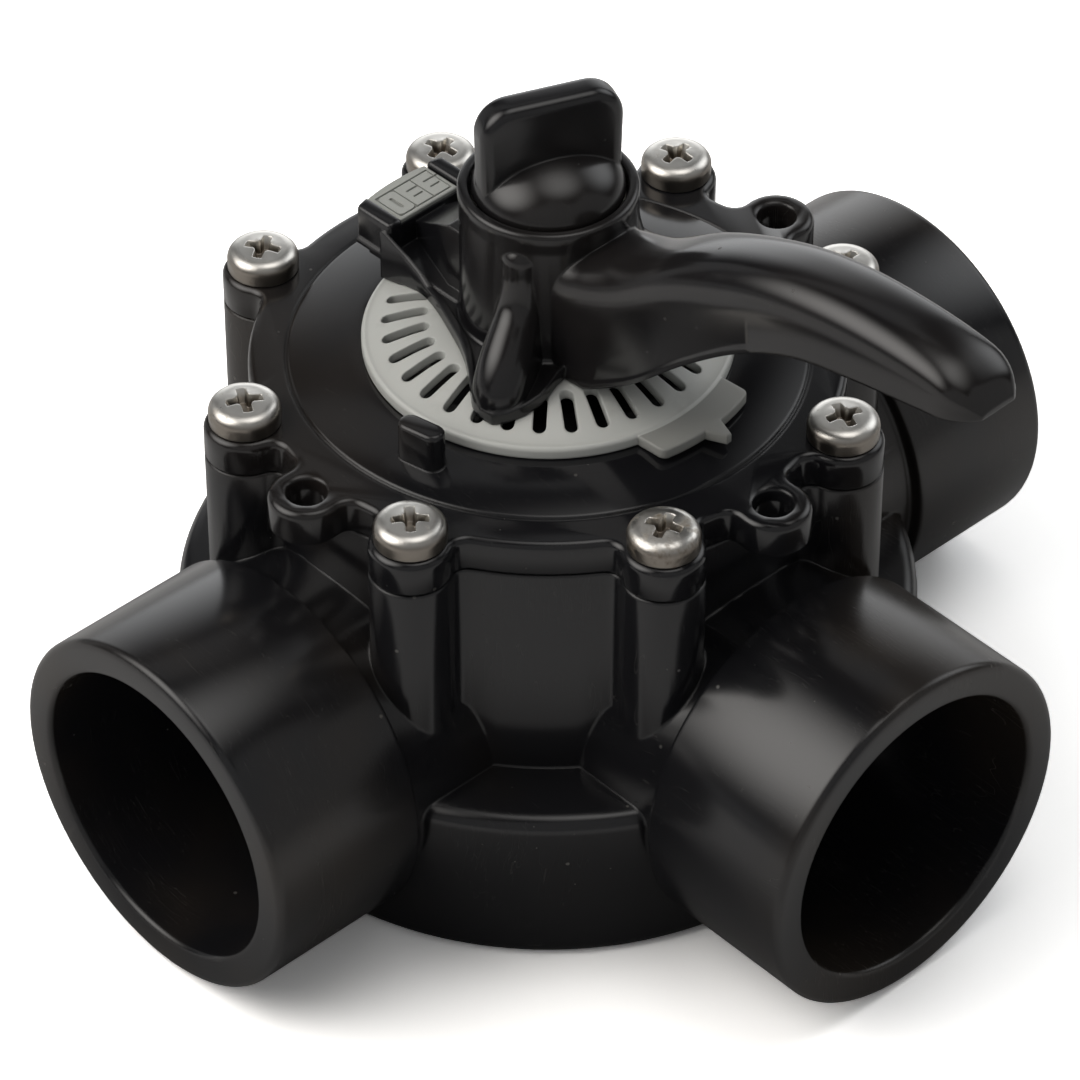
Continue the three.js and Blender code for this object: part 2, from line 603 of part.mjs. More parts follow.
function ringTab() {
  const inner = RING_SHOULDER_RADIUS - TAB_LAP;
  const straight = Math.sqrt((TAB_RADIUS - TAB_CORNER) ** 2 - (TAB_HALF_WIDTH - TAB_CORNER) ** 2);
  const lean = THREE.MathUtils.radToDeg(Math.atan2(TAB_HALF_WIDTH - TAB_CORNER, straight));
  const arrow = THREE.MathUtils.radToDeg(Math.asin(ARROW_HALF_WIDTH / TAB_RADIUS));
  const corner = (side) => new THREE.Vector2(straight, side * (TAB_HALF_WIDTH - TAB_CORNER));
  const centre = new THREE.Vector2();
  const tab = prism([
    new THREE.Vector2(inner, -TAB_HALF_WIDTH),
    ...arc(corner(-1), TAB_CORNER, -90, -lean),
    ...arc(centre, TAB_RADIUS, -lean, -arrow, WIDE_ARC_STEP).slice(1),
    new THREE.Vector2(ARROW_REACH, -ARROW_TIP_HALF_WIDTH),
    new THREE.Vector2(ARROW_REACH, ARROW_TIP_HALF_WIDTH),
    ...arc(centre, TAB_RADIUS, arrow, lean, WIDE_ARC_STEP).slice(0, -1),
    ...arc(corner(1), TAB_CORNER, lean, 90),
    new THREE.Vector2(inner, TAB_HALF_WIDTH),
  ], RING_BASE, RING_BASE + TAB_THICKNESS);
  return tab.rotate([0, 0, RING_TURN]);
}

const slotAngle = (index) => RING_TURN + (index + 0.5) * SLOT_PITCH;

function ringSlot(index) {
  const outline = obround(SLOT_OUTER_RADIUS - SLOT_INNER_RADIUS, SLOT_WIDTH);
  const slot = prism(outline, RING_BASE - LAP, RING_TOP + LAP).rotate([0, 0, 90]);
  const reach = (SLOT_OUTER_RADIUS + SLOT_INNER_RADIUS) / 2;
  return slot.translate([reach, 0, 0]).rotate([0, 0, slotAngle(index)]);
}

function stopRing() {
  const radii = ringRadii();
  const under = radii.map((radius) => [radius, ringTop(radius) - RING_THICKNESS])
    .filter(([, height]) => height > RING_BASE);
  const disk = spin([
    [RING_BORE_RADIUS, RING_TOP - RING_THICKNESS],
    ...under,
    [RING_SHOULDER_RADIUS - RING_THICKNESS / 2, RING_BASE],
    [RING_RADIUS, RING_BASE],
    [RING_RADIUS, RING_BASE + RING_EDGE_HEIGHT - RING_EDGE_RADIUS],
    ...radii.toReversed().map((radius) => [radius, ringTop(radius)]),
    [RING_BORE_RADIUS, RING_TOP],
    [RING_BORE_RADIUS, RING_TOP - RING_THICKNESS],
  ]);
  const slots = Array.from({ length: SLOT_COUNT }, (_, i) => ringSlot(i));
  return cut(disk.add(ringTab()), slots);
}

// ---------------------------------------------------------------- diverter and its seals

// A sector of a disc, pointing along +X.
const sector = (halfAngle, radius, base, top) => prism([
  new THREE.Vector2(),
  ...arc(new THREE.Vector2(), radius / Math.cos(radians(halfAngle / 2)), -halfAngle, halfAngle, ARC_STEP / 3),
], base, top);

const facingPort = (inner, outer, reachFrom, reachTo) => spinAlongPort([
  [inner, reachFrom], [outer, reachFrom], [outer, reachTo], [inner, reachTo], [inner, reachFrom],
], 0);

function diverter() {
  const shaft = join([
    disc(PIVOT_RADIUS - RUNNING_GAP, CHAMBER_FLOOR + ROTOR_CLEARANCE, PIVOT_TOP + LAP, COARSE),
    disc(SHAFT_RADIUS, PIVOT_TOP + ROTOR_CLEARANCE, SHAFT_TOP, MEDIUM),
    disc(WASHER_RADIUS, COLLAR_TOP - COLLAR_THICKNESS, COLLAR_TOP, MEDIUM),
    block(-DRIVE_HALF, DRIVE_HALF, -DRIVE_HALF, DRIVE_HALF, SHAFT_TOP - LAP, STUD_BASE),
    disc(STUD_RADIUS, STUD_BASE - LAP, STUD_BASE + STUD_LENGTH, COARSE),
  ]);
  const wall = tube(
    ROTOR_RADIUS - ROTOR_SHELL, ROTOR_RADIUS,
    PORT_HEIGHT - ROTOR_HALF_HEIGHT, PORT_HEIGHT + ROTOR_HALF_HEIGHT,
  ).intersect(sector(ROTOR_HALF_ANGLE, ROTOR_RADIUS + LAP, 0, BARREL_TOP));
  const plates = [-1, 1].map((side) => {
    const middle = PORT_HEIGHT + side * ROTOR_PLATE_OFFSET;
    return sector(
      ROTOR_HALF_ANGLE - ROTOR_PLATE_INSET, ROTOR_RADIUS - ROTOR_SHELL,
      middle - ROTOR_PLATE / 2, middle + ROTOR_PLATE / 2,
    );
  });
  const groove = facingPort(
    FACE_SEAL_BORE - GAP, FACE_SEAL_RADIUS + GAP, CHAMBER_RADIUS / 2, PORT_REACH,
  ).subtract(disc(FACE_SEAL_FLOOR - GAP, 0, BARREL_TOP));
  const grooveHalf = SHAFT_SEAL_CORD / 2 + GAP;
  const shaftGrooves = SHAFT_SEAL_HEIGHTS.map((height) => tube(
    SHAFT_SEAL_RADIUS - grooveHalf, SHAFT_RADIUS + LAP, height - grooveHalf, height + grooveHalf, MEDIUM,
  ));
  return cut(join([shaft, wall, ...plates]), [groove, ...shaftGrooves]).rotate([0, 0, PADDLE_TURN]);
}

function diverterSeal() {
  const ring = facingPort(FACE_SEAL_BORE, FACE_SEAL_RADIUS, CHAMBER_RADIUS / 2, PORT_REACH);
  const face = tube(FACE_SEAL_FLOOR, CHAMBER_RADIUS - RUNNING_GAP, 0, BARREL_TOP);
  return ring.intersect(face).rotate([0, 0, PADDLE_TURN]);
}

const shaftSeal = (height) => torus(SHAFT_SEAL_RADIUS, SHAFT_SEAL_CORD / 2, height, SHAFT_SEAL_FACETS);

const thrustWasher = () => tube(
  SHAFT_BORE_RADIUS, WASHER_RADIUS, COLLAR_TOP + GAP, COLLAR_TOP + GAP + WASHER_THICKNESS, MEDIUM,
);

// ---------------------------------------------------------------- handle

// The handle is drawn with its lever along +X and turned into place at the end.
const leverCurve = (points) => new THREE.SplineCurve(
  points.map(([share, height]) => new THREE.Vector2(share * ARM_REACH, FOOT_BASE + height)),
);
// The lever's crest and underside: share of its reach, height above the handle's foot.
const CREST = [[0.14, 26.5], [0.24, 31], [0.36, 40], [0.48, 46.4], [0.6, 50.4], [0.75, 52.2],
  [0.91, 51.2], [0.975, 48], [1, 44]];
const UNDERSIDE = [[0.19, 0.1], [0.29, 7.7], [0.41, 20], [0.527, 30.2], [0.64, 36.3], [0.755, 39.1],
  [0.87, 41], [0.965, 42.4], [1.02, 43.2]];

// How far the lever's width has shrunk at a reach: evenly along it, then round at the tip.
function leverTaper(reach) {
  const along = THREE.MathUtils.clamp((reach - HUB_RADIUS) / (ARM_REACH - HUB_RADIUS), 0, 1);
  const width = THREE.MathUtils.lerp(ARM_ROOT_HALF_WIDTH, ARM_END_HALF_WIDTH, along ** ARM_TAPER_POWER);
  const intoTip = Math.max(0, reach - ARM_REACH + ARM_TIP_LENGTH) / ARM_TIP_LENGTH;
  return (width / ARM_ROOT_HALF_WIDTH) * Math.sqrt(1 - ARM_TIP_SQUARENESS * intoTip ** 2);
}

function leverBlank(inset) {
  const edge = inset === 0 ? ARM_EDGE : ARM_EDGE / 2;
  const crest = leverCurve(CREST).getPoints(CREST_POINTS).map(({ x, y }) => (
    new THREE.Vector2(x * (1 - inset / ARM_REACH), y - inset)
  ));
  const under = leverCurve(UNDERSIDE).getPoints(UNDERSIDE_POINTS).reverse()
    .filter(({ x }) => x < ARM_REACH - ARM_TIP_LENGTH)
    .map(({ x, y }) => new THREE.Vector2(x, y - ARM_BLANK_DROP));
  const tip = new THREE.Vector2(ARM_REACH - inset - LAP / 2, under[0].y);
  const root = new THREE.Vector2(ARM_ROOT, FOOT_BASE - ARM_BLANK_DROP);
  const start = new THREE.Vector2(ARM_ROOT, crest[0].y);
  const half = ARM_ROOT_HALF_WIDTH - inset - edge;
  const geometry = prismGeometry([start, ...crest, tip, ...under, root], -half, half, {
    bevelEnabled: true, bevelThickness: edge, bevelSize: edge, bevelOffset: -edge,
    bevelSegments: LEVER_EDGE_FACETS,
  }).rotateX(Math.PI / 2);
  const position = geometry.attributes.position;
  for (let i = 0; i < position.count; i += 1) {
    position.setY(i, position.getY(i) * leverTaper(position.getX(i)));
  }
  return solid(geometry);
}

function lever() {
  const under = leverCurve(UNDERSIDE).getPoints(CREST_POINTS);
  const below = uprightPrism([
    new THREE.Vector2(ARM_ROOT - LAP, FOOT_BASE),
    ...under,
    new THREE.Vector2(under.at(-1).x, 0),
    new THREE.Vector2(ARM_ROOT - LAP, 0),
  ], BARREL_RADIUS);
  const hollow = leverBlank(ARM_WALL).subtract(disc(HUB_RADIUS + ARM_WALL, 0, GRIP_SUMMIT, MEDIUM));
  return cut(leverBlank(0), [below, hollow]);
}

// The middle line of a finger's back: reach, height above the handle's foot, half-width.
const FINGER_BACK = [[14.3, 23.8, 3.8], [14.6, 17.6, 4], [17.5, 10.7, 4.4], [22.8, 5.6, 5],
  [FINGER_REACH, -0.7, FINGER_RADIUS], [FINGER_REACH, -5.5, FINGER_RADIUS]];

// A buttress that swoops from under the hub's lip down onto the stop ring: balls along the line of
// its back and deep inside it, with a skin stretched over each pair of steps.
function finger() {
  const line = new THREE.CatmullRomCurve3(FINGER_BACK.map((numbers) => new THREE.Vector3(...numbers)));
  const steps = line.getPoints(FINGER_STEPS).map(({ x: reach, y: height, z: radius }) => {
    const ball = new THREE.SphereGeometry(radius, ...FINGER_FACETS).rotateX(Math.PI / 2);
    const { position } = ball.translate(reach, 0, FOOT_BASE + height).attributes;
    const outer = Array.from({ length: position.count }, (_, i) => (
      new THREE.Vector3().fromBufferAttribute(position, i)
    ));
    return [...outer, ...outer.map(({ x, y, z }) => new THREE.Vector3(x - FINGER_DEPTH, y, z))];
  });
  return join(steps.slice(1).map((step, i) => solid(new ConvexGeometry([...steps[i], ...step]))));
}

// Half of the skirt's outline, as shares of the hub's radius: from the label's arm to a finger, and
// from the finger to the lever.
const SKIRT_FLANK = [[-1.54, 0.71], [-1.01, 0.85], [-0.36, 1.11], [0.18, 1.43]];
const SKIRT_FRONT = [[1.05, 1.02], [0.97, 0.68], [0.95, 0.45]];

// The handle's foot: a thin skirt over the ring, from the label's arm round each finger to the
// lever, with a rim round its edge.
function skirt() {
  const curve = (points) => new THREE.SplineCurve(points).getPoints(SKIRT_POINTS);
  const shares = (list) => list.map(([x, y]) => new THREE.Vector2(x, y).multiplyScalar(HUB_RADIUS));
  const start = new THREE.Vector2(GAP - LABEL_INNER_RADIUS, OFF_ARM_HALF_WIDTH);
  const toe = arc(polar(FINGER_REACH, FINGER_ANGLE), SKIRT_TOE_RADIUS, 150, 0);
  const half = [...curve([start, ...shares(SKIRT_FLANK)]), ...toe, ...curve(shares(SKIRT_FRONT))];
  const outline = [...half, ...half.toReversed().map(({ x, y }) => new THREE.Vector2(x, -y))];
  const inside = outline.map((point) => point.clone().setLength(point.length() - SKIRT_RIM));
  const crown = ringRadii().map((radius) => [radius, ringTop(radius) + RUNNING_GAP + SKIRT_THICKNESS]);
  const cover = spin([[0, RING_BASE], [OFF_ARM_REACH, RING_BASE], [OFF_ARM_REACH, crown.at(-1)[1]],
    ...crown.toReversed(), [0, crown[0][1]]]);
  return prism(outline, RING_BASE, HUB_TOP)
    .intersect(cover)
    .subtract(prism(inside, FOOT_BASE + FOOT_THICKNESS, HUB_TOP));
}

// The space that the ring's dome needs under the handle.
function ringSpace() {
  const crown = ringRadii().map((radius) => [radius, ringTop(radius) + RUNNING_GAP]);
  const reach = RING_RADIUS + RUNNING_GAP;
  return spin([
    [0, 0],
    [reach, 0],
    [reach, RING_BASE + RING_EDGE_HEIGHT],
    ...crown.toReversed(),
    [0, RING_TOP + GAP],
  ]);
}

// Small lugs under the fingers drop into the ring's slots and carry the ring round.
function lug(side) {
  const wanted = HANDLE_TURN + side * FINGER_ANGLE;
  const index = Math.round((wanted - slotAngle(0)) / SLOT_PITCH);
  const inner = FINGER_REACH - LUG_LENGTH / 2;
  const top = ringTop(inner) + RUNNING_GAP + LAP;
  return block(
    inner, inner + LUG_LENGTH, -LUG_WIDTH / 2, LUG_WIDTH / 2,
    ringTop(inner + LUG_LENGTH) - LUG_DEPTH, top,
  ).rotate([0, 0, slotAngle(index) - HANDLE_TURN]);
}

function offArm() {
  const plateTop = FOOT_BASE + FOOT_THICKNESS;
  const plate = block(-OFF_ARM_REACH, 0, -OFF_ARM_HALF_WIDTH, OFF_ARM_HALF_WIDTH, FOOT_BASE, plateTop);
  const blockStart = -LABEL_INNER_RADIUS + GAP;
  const cheekOuter = LABEL_HALF_WIDTH + GAP + CHEEK_THICKNESS;
  const cheeks = [-1, 1].map((side) => block(
    -OFF_ARM_REACH, -OFF_ARM_REACH + CHEEK_LENGTH,
    side > 0 ? LABEL_HALF_WIDTH + GAP : -cheekOuter, side > 0 ? cheekOuter : -LABEL_HALF_WIDTH - GAP,
    FOOT_BASE, CHEEK_SUMMIT,
  ));
  const flanks = [-1, 1].map((side) => uprightPrism([
    new THREE.Vector2(blockStart, plateTop - LAP),
    new THREE.Vector2(-HUB_RADIUS, plateTop - LAP),
    new THREE.Vector2(-HUB_RADIUS, plateTop),
    new THREE.Vector2(blockStart, FOOT_BASE + FLANK_HEIGHT),
  ], SKIRT_RIM / 2).translate([0, side * (OFF_ARM_HALF_WIDTH - SKIRT_RIM / 2), 0]));
  const labelSeat = LABEL_BASE - GAP;
  const gussetSide = uprightPrism([
    new THREE.Vector2(-OFF_ARM_REACH + FOOT_THICKNESS, FOOT_BASE),
    new THREE.Vector2(0, FOOT_BASE),
    new THREE.Vector2(0, FOOT_BASE + GUSSET_ROOT_HEIGHT),
    new THREE.Vector2(-HUB_RADIUS, FOOT_BASE + GUSSET_ROOT_HEIGHT),
    new THREE.Vector2(blockStart, labelSeat),
    new THREE.Vector2(-OFF_ARM_REACH + FOOT_THICKNESS, labelSeat),
  ], OFF_ARM_HALF_WIDTH);
  const gussetPlan = prism([
    new THREE.Vector2(-OFF_ARM_REACH, -GUSSET_END_HALF_WIDTH),
    new THREE.Vector2(blockStart, -GUSSET_END_HALF_WIDTH),
    new THREE.Vector2(-HUB_RADIUS, -GUSSET_ROOT_HALF_WIDTH),
    new THREE.Vector2(0, -GUSSET_ROOT_HALF_WIDTH),
    new THREE.Vector2(0, GUSSET_ROOT_HALF_WIDTH),
    new THREE.Vector2(-HUB_RADIUS, GUSSET_ROOT_HALF_WIDTH),
    new THREE.Vector2(blockStart, GUSSET_END_HALF_WIDTH),
    new THREE.Vector2(-OFF_ARM_REACH, GUSSET_END_HALF_WIDTH),
  ], FOOT_BASE, HUB_TOP);
  const outerWall = block(
    -OFF_ARM_REACH, -OFF_ARM_REACH + FOOT_THICKNESS, -cheekOuter, cheekOuter, FOOT_BASE, labelSeat,
  );
  const rounded = disc(OFF_ARM_REACH, 0, CHEEK_SUMMIT + LAP);
  const arm = join([plate, ...cheeks, ...flanks, gussetSide.intersect(gussetPlan), outerWall]);
  const postPath = tube(
    POST_CIRCLE_RADIUS - POST_THICKNESS / 2 - RUNNING_GAP, 2 * OFF_ARM_REACH,
    0, POST_TOP + RUNNING_GAP,
  );
  return arm.intersect(rounded).subtract(postPath);
}

function hub() {
  return spin([
    [0, FOOT_BASE],
    [HUB_RADIUS, FOOT_BASE],
    [HUB_RADIUS, HUB_TOP - HUB_LIP_HEIGHT],
    [HUB_LIP_RADIUS, HUB_TOP - HUB_LIP_HEIGHT + (HUB_LIP_RADIUS - HUB_RADIUS)],
    ...rounding(HUB_LIP_RADIUS - HUB_LIP_EDGE, HUB_TOP - HUB_LIP_EDGE, HUB_LIP_EDGE, 0, 90),
    [0, HUB_TOP],
  ]);
}

function handle() {
  const outside = join([
    hub(),
    skirt(),
    offArm(),
    lever(),
    ...around([FINGER_ANGLE, -FINGER_ANGLE], finger),
  ]);
  const square = DRIVE_HALF + GAP;
  const hollows = [
    ringSpace(),
    block(-square, square, -square, square, FOOT_BASE - LAP, STUD_BASE + GAP),
    disc(HUB_BORE_RADIUS, STUD_BASE + GAP / 2, HUB_TOP + LAP, MEDIUM),
    disc(KNOB_SEAT_RADIUS, KNOB_SEAT, HUB_TOP + LAP, MEDIUM),
  ];
  return cut(outside, hollows).add(lug(-1)).add(lug(1)).rotate([0, 0, HANDLE_TURN]);
}

// ---------------------------------------------------------------- OFF label

// Strokes of a letter: left, bottom, width and height as shares of the letter's own cell.
const LETTER_STROKES = {
  O: [['left'], ['right'], ['top'], ['bottom']],
  F: [['left'], ['top'], ['middle']],
};

function letter(character) {
  const across = LETTER_WIDTH / 2;
  const up = LETTER_HEIGHT / 2;
  const strokes = {
    left: [-across, -up, -across + LETTER_STROKE, up],
    right: [across - LETTER_STROKE, -up, across, up],
    top: [-across, up - LETTER_STROKE, across, up],
    bottom: [-across, -up, across, -up + LETTER_STROKE],
    middle: [-across, -LETTER_STROKE / 2, across - LETTER_STROKE / 2, LETTER_STROKE / 2],
  };
  return join(LETTER_STROKES[character].map(([name]) => prism(
    rectangle(...strokes[name]),
    LABEL_TOP - LETTER_RELIEF,
    LABEL_TOP + LETTER_RELIEF,
  )));
}

function offLabel() {
  const inner = LABEL_INNER_RADIUS;
  const outer = OFF_ARM_REACH + LABEL_OVERHANG;
  const plate = block(-outer - LAP, -inner, -LABEL_HALF_WIDTH, LABEL_HALF_WIDTH, LABEL_BASE, LABEL_TOP)
    .intersect(disc(outer, LABEL_BASE - LAP, LABEL_TOP + LAP));
  const middle = -(inner + OFF_ARM_REACH) / 2;
  const letters = [...'OFF'].map((character, i) => letter(character)
    .rotate([0, 0, 90])
    .translate([middle, (i - 1) * LETTER_PITCH, 0]));
  return join([plate, ...letters]).rotate([0, 0, HANDLE_TURN]);
}

// ---------------------------------------------------------------- knob

function knob() {
  const capEdge = KNOB_BASE + KNOB_CAP_EDGE;
  const dome = arc(new THREE.Vector2(), 1, 0, 90, CAP_DOME_STEP);
  const cap = spin([
    [0, KNOB_BASE],
    [KNOB_CAP_RADIUS, KNOB_BASE],
    ...dome.slice(0, -1).map(({ x, y }) => [KNOB_CAP_RADIUS * x, capEdge + KNOB_DOME_HEIGHT * y]),
    [0, capEdge + KNOB_DOME_HEIGHT],
  ], MEDIUM);
  const half = GRIP_WIDTH / 2 - GRIP_CORNER;
  const summit = KNOB_BASE + GRIP_TOP;
  const corner = (side) => new THREE.Vector2(side * half, summit - GRIP_CORNER);
  const foot = GRIP_FOOT_WIDTH / 2;
  const outline = [
    new THREE.Vector2(-foot, KNOB_BASE + GRIP_LIFT),
    new THREE.Vector2(foot, KNOB_BASE + GRIP_LIFT),
    ...arc(corner(1), GRIP_CORNER, 0, 90),
    ...arc(corner(-1), GRIP_CORNER, 90, 180),
  ];
  const flat = GRIP_THICKNESS / 2 - GRIP_EDGE;
  const plate = solid(prismGeometry(outline, -flat, flat, {
    bevelEnabled: true,
    bevelThickness: GRIP_EDGE,
    bevelSize: GRIP_EDGE,
    bevelOffset: -GRIP_EDGE,
    bevelSegments: EDGE_FACETS,
  }).rotateX(Math.PI / 2));
  const envelope = disc(KNOB_CAP_RADIUS, KNOB_BASE, summit + LAP, MEDIUM);
  const sleeveBase = KNOB_BASE - KNOB_SLEEVE_LENGTH;
  const sleeve = disc(KNOB_SLEEVE_RADIUS, sleeveBase, KNOB_BASE + LAP, MEDIUM);
  const bore = disc(STUD_RADIUS + GAP, sleeveBase - LAP, KNOB_BASE + LAP, COARSE);
  return join([cap, plate.intersect(envelope), sleeve]).subtract(bore).rotate([0, 0, KNOB_TURN]);
}

const knobWasher = () => tube(
  HUB_BORE_RADIUS, KNOB_CAP_RADIUS, KNOB_WASHER_BASE, KNOB_WASHER_BASE + WASHER_THICKNESS, MEDIUM,
);

// ---------------------------------------------------------------- assembly

const valve = new THREE.Group();
valve.name = 'three_way_valve';
valve.add(
  piece('valve_body', valveBody(), materials.body),
  piece('lid', lid(), materials.lid),
  piece('lid_o_ring', lidSeal(), materials.rubber),
  ...screwPlaces().map((body, i) => piece(`lid_screw_${i + 1}`, body, materials.steel)),
  piece('diverter', diverter(), materials.rotor),
  piece('diverter_seal', diverterSeal(), materials.rubber),
  ...SHAFT_SEAL_HEIGHTS.map((height, i) => (
    piece(['shaft_o_ring_lower', 'shaft_o_ring_upper'][i], shaftSeal(height), materials.rubber)
  )),
  piece('thrust_washer', thrustWasher(), materials.washer),
  piece('stop_ring', stopRing(), materials.ring),
  piece('handle', handle(), materials.handle),
  piece('off_label', offLabel(), materials.label),
  piece('knob', knob(), materials.knob),
  piece('knob_washer', knobWasher(), materials.washer),
);

export default valve;
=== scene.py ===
"""Looks of a three-way pool valve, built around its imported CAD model.

The file is laid out as an add-on and run as a script. Lengths are in metres, and the origin is the
centre of the valve's base, with +Z along the shaft.
"""

import math

import bmesh
import bpy
from bpy.props import FloatProperty, FloatVectorProperty, IntProperty, PointerProperty
from bpy.types import Operator, Panel, PropertyGroup
from mathutils import Matrix, Vector


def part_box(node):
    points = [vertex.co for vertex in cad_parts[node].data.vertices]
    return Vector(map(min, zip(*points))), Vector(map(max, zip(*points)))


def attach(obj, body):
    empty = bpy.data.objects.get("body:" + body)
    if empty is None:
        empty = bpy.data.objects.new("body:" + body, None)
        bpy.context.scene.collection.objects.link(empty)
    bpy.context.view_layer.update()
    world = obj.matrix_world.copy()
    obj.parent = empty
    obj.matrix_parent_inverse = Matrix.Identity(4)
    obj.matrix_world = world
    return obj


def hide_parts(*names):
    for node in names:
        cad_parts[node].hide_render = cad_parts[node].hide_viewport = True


bl_info = {
    "name": "Three-way valve looks",
    "version": (1, 0, 0),
    "blender": (4, 5, 0),
    "location": "3D View > Sidebar > Valve",
    "description": "Builds the visible pieces, finishes and studio of a three-way pool valve",
    "category": "Object",
}

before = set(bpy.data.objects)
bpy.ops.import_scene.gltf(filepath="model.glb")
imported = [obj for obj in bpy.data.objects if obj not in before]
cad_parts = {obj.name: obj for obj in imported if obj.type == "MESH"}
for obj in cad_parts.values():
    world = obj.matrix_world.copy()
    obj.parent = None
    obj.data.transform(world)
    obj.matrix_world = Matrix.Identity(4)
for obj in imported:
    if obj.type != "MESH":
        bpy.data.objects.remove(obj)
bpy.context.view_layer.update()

MM = 0.001
FULL_TURN = 2 * math.pi
_, BODY_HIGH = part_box("valve_body")
RING_LOW, RING_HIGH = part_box("stop_ring")
KNOB_LOW, KNOB_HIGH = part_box("knob")
LABEL_LOW, LABEL_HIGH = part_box("off_label")
SCREW_NODES = [f"lid_screw_{i}" for i in range(1, 9)]

SEAM = BODY_HIGH.z
PORT_REACH = BODY_HIGH.x
DRUM_RADIUS = BODY_HIGH.y
GAP = 0.3 * MM
LID_BASE = SEAM + GAP
LID_TOP = LID_BASE + 7.2 * MM
RING_BASE = RING_LOW.z
RING_TOP = RING_HIGH.z
FOOT_BASE = RING_TOP + GAP
HUB_TOP = FOOT_BASE + 31.4 * MM
KNOB_TOP = KNOB_HIGH.z
KNOB_SLEEVE_BASE = KNOB_LOW.z
KNOB_BASE = KNOB_SLEEVE_BASE + 16 * MM
SCREW_CIRCLE = 61.1 * MM
PORT_ANGLES = (180, 270, 0)
EAR_ANGLES = (0, 180, 270)
RIB_ANGLES = (45, 90, 135, 225, 315)
SCREW_ANGLES = [22.5 + 45 * i for i in range(8)]
CROSS_TURNS = (8, 12, 30, 62, 50, 24, 72, 5)
STAINED_SCREW = 5
SCREW_PILOT = 3.45 * MM
SCREW_HEAD = 4.9 * MM
SCREW_LENGTH = 29 * MM
SHAFT_BORE = 9.85 * MM
HOUSING_BASE = 76.3 * MM
HOUSING_RADIUS = 14 * MM
DOME_FOOT = 34.8 * MM
DOME_SPAN = 14.8 * MM
DOME_RISE = 3.8 * MM
RING_EDGE = 2.3 * MM
LABEL_ARM_REACH = 42.4 * MM
EASE = 0.06 * MM

# ------------------------------------------------------------------------------------- values


def length(name, description, default_mm, smallest=0.0):
    """A length property, given in millimetres and held in metres."""
    return FloatProperty(
        name=name, description=description, default=default_mm * MM, min=smallest,
        subtype="DISTANCE", unit="LENGTH", precision=5,
    )


def colour(name, description, default):
    """A colour property."""
    return FloatVectorProperty(
        name=name, description=description, default=default, size=3, min=0.0, max=1.0, subtype="COLOR",
    )


def turn(name, description, degrees):
    """An angle property, given in degrees and held in radians."""
    return FloatProperty(
        name=name, description=description, default=math.radians(degrees), subtype="ANGLE", unit="ROTATION",
    )


class ValveBodyValues(PropertyGroup):
    """Sizes of the moulded body."""

    port_height: length("Port height", "Base to the ports' axes", 38)
    tube_radius: length("Tube radius", "Outside of a port's tube", 37.3)
    tube_start: length("Tube start", "Where the tube steps down to its neck", 67.5)
    tube_edge: length("Tube edge", "Rounding of a tube's outer edge", 1.6)
    neck_radius: length("Neck radius", "Outside of a port's neck", 34.5)
    socket_radius: length("Socket radius", "Slip socket's bore", 30.2)
    socket_depth: length("Socket depth", "How far pipe goes in", 38.1)
    waterway_radius: length("Waterway radius", "Bore behind a socket", 26.25)
    barrel_radius: length("Barrel radius", "Outside of the chamber", 57.6)
    chamber_radius: length("Chamber radius", "Inside of the chamber", 52.5)
    drum_top: length("Drum top", "Height of the shelf under the ports", 39.5)
    drum_base_radius: length("Drum foot radius", "Drum at its foot", 68.8)
    drum_edge: length("Drum edge", "Rounding of the drum's upper edge", 3.2)
    drum_wall: length("Drum wall", "Thickness of the drum's skirt", 4.5)
    boss_radius: length("Boss radius", "Column round each lid screw", 8)
    fillet: length("Fillet", "Hollow rounding beside each column", 3)


class LidValues(PropertyGroup):
    """Sizes of the lid."""

    edge: length("Lid edge", "Rounding of the lid's upper edge", 1.5)
    ear_circle: length("Ear circle", "Valve axis to an ear's hole", 61.5)
    ear_radius: length("Ear radius", "Round end of an ear", 7.4)
    ear_hole: length("Ear hole", "Radius of an ear's hole", 3.75)
    crown_outer: length("Crown foot", "Radius inside which the lid rises", 50)
    crown_inner: length("Crown top", "Radius of the raised flat", 36.4)
    crown_height: length("Crown height", "Rise of the crown", 2.3)
    post_turn: turn("Post angle", "Where the stop post stands", 192.6)
    post_circle: length("Post circle", "Valve axis to the stop post", 41.7)
    post_top: length("Post top", "Height of the stop post's top", 105)


class RingValues(PropertyGroup):
    """Sizes of the slotted stop ring."""

    ring_turn: turn("Ring angle", "Where the ring's arrow points", 274.6)
    slots: IntProperty(name="Slots", description="Number of slots", default=32, min=3, max=64)
    slot_width: length("Slot width", "Width of a slot", 2.6)
    slot_inner: length("Slot inner end", "Radius of a slot's inner end", 22.8)
    slot_outer: length("Slot outer end", "Radius of a slot's outer end", 32)
    thickness: length("Thickness", "Thickness of the ring's plate", 2.1)
    tab_radius: length("Tab radius", "Outer edge of the stop tab", 42)
    tab_half: length("Tab half width", "Half the stop tab's width", 12)


class HandleValues(PropertyGroup):
    """Sizes of the handle."""

    handle_turn: turn("Handle angle", "Where the lever points", 271.5)
    hub_radius: length("Hub radius", "Outside of the hub", 16.9)
    lip_radius: length("Hub lip", "Radius of the hub's lip", 17.2)
    lever_root: length("Lever root", "Half the lever's width at the hub", 11.4)
    lever_end: length("Lever end", "Half the lever's width at its end", 8)
    finger_turn: turn("Finger angle", "Each finger, from the lever", 65)
    block_half: length("Label block", "Half the width between the label's cheeks", 7.9)


class KnobValues(PropertyGroup):
    """Sizes of the locking knob."""

    knob_turn: turn("Knob angle", "Where the grip's plane points", 337.7)
    cap_radius: length("Cap radius", "Round cap under the grip", 14.6)
    grip_width: length("Grip width", "Width of the grip", 28.4)
    grip_thickness: length("Grip thickness", "Thickness of the grip", 7)


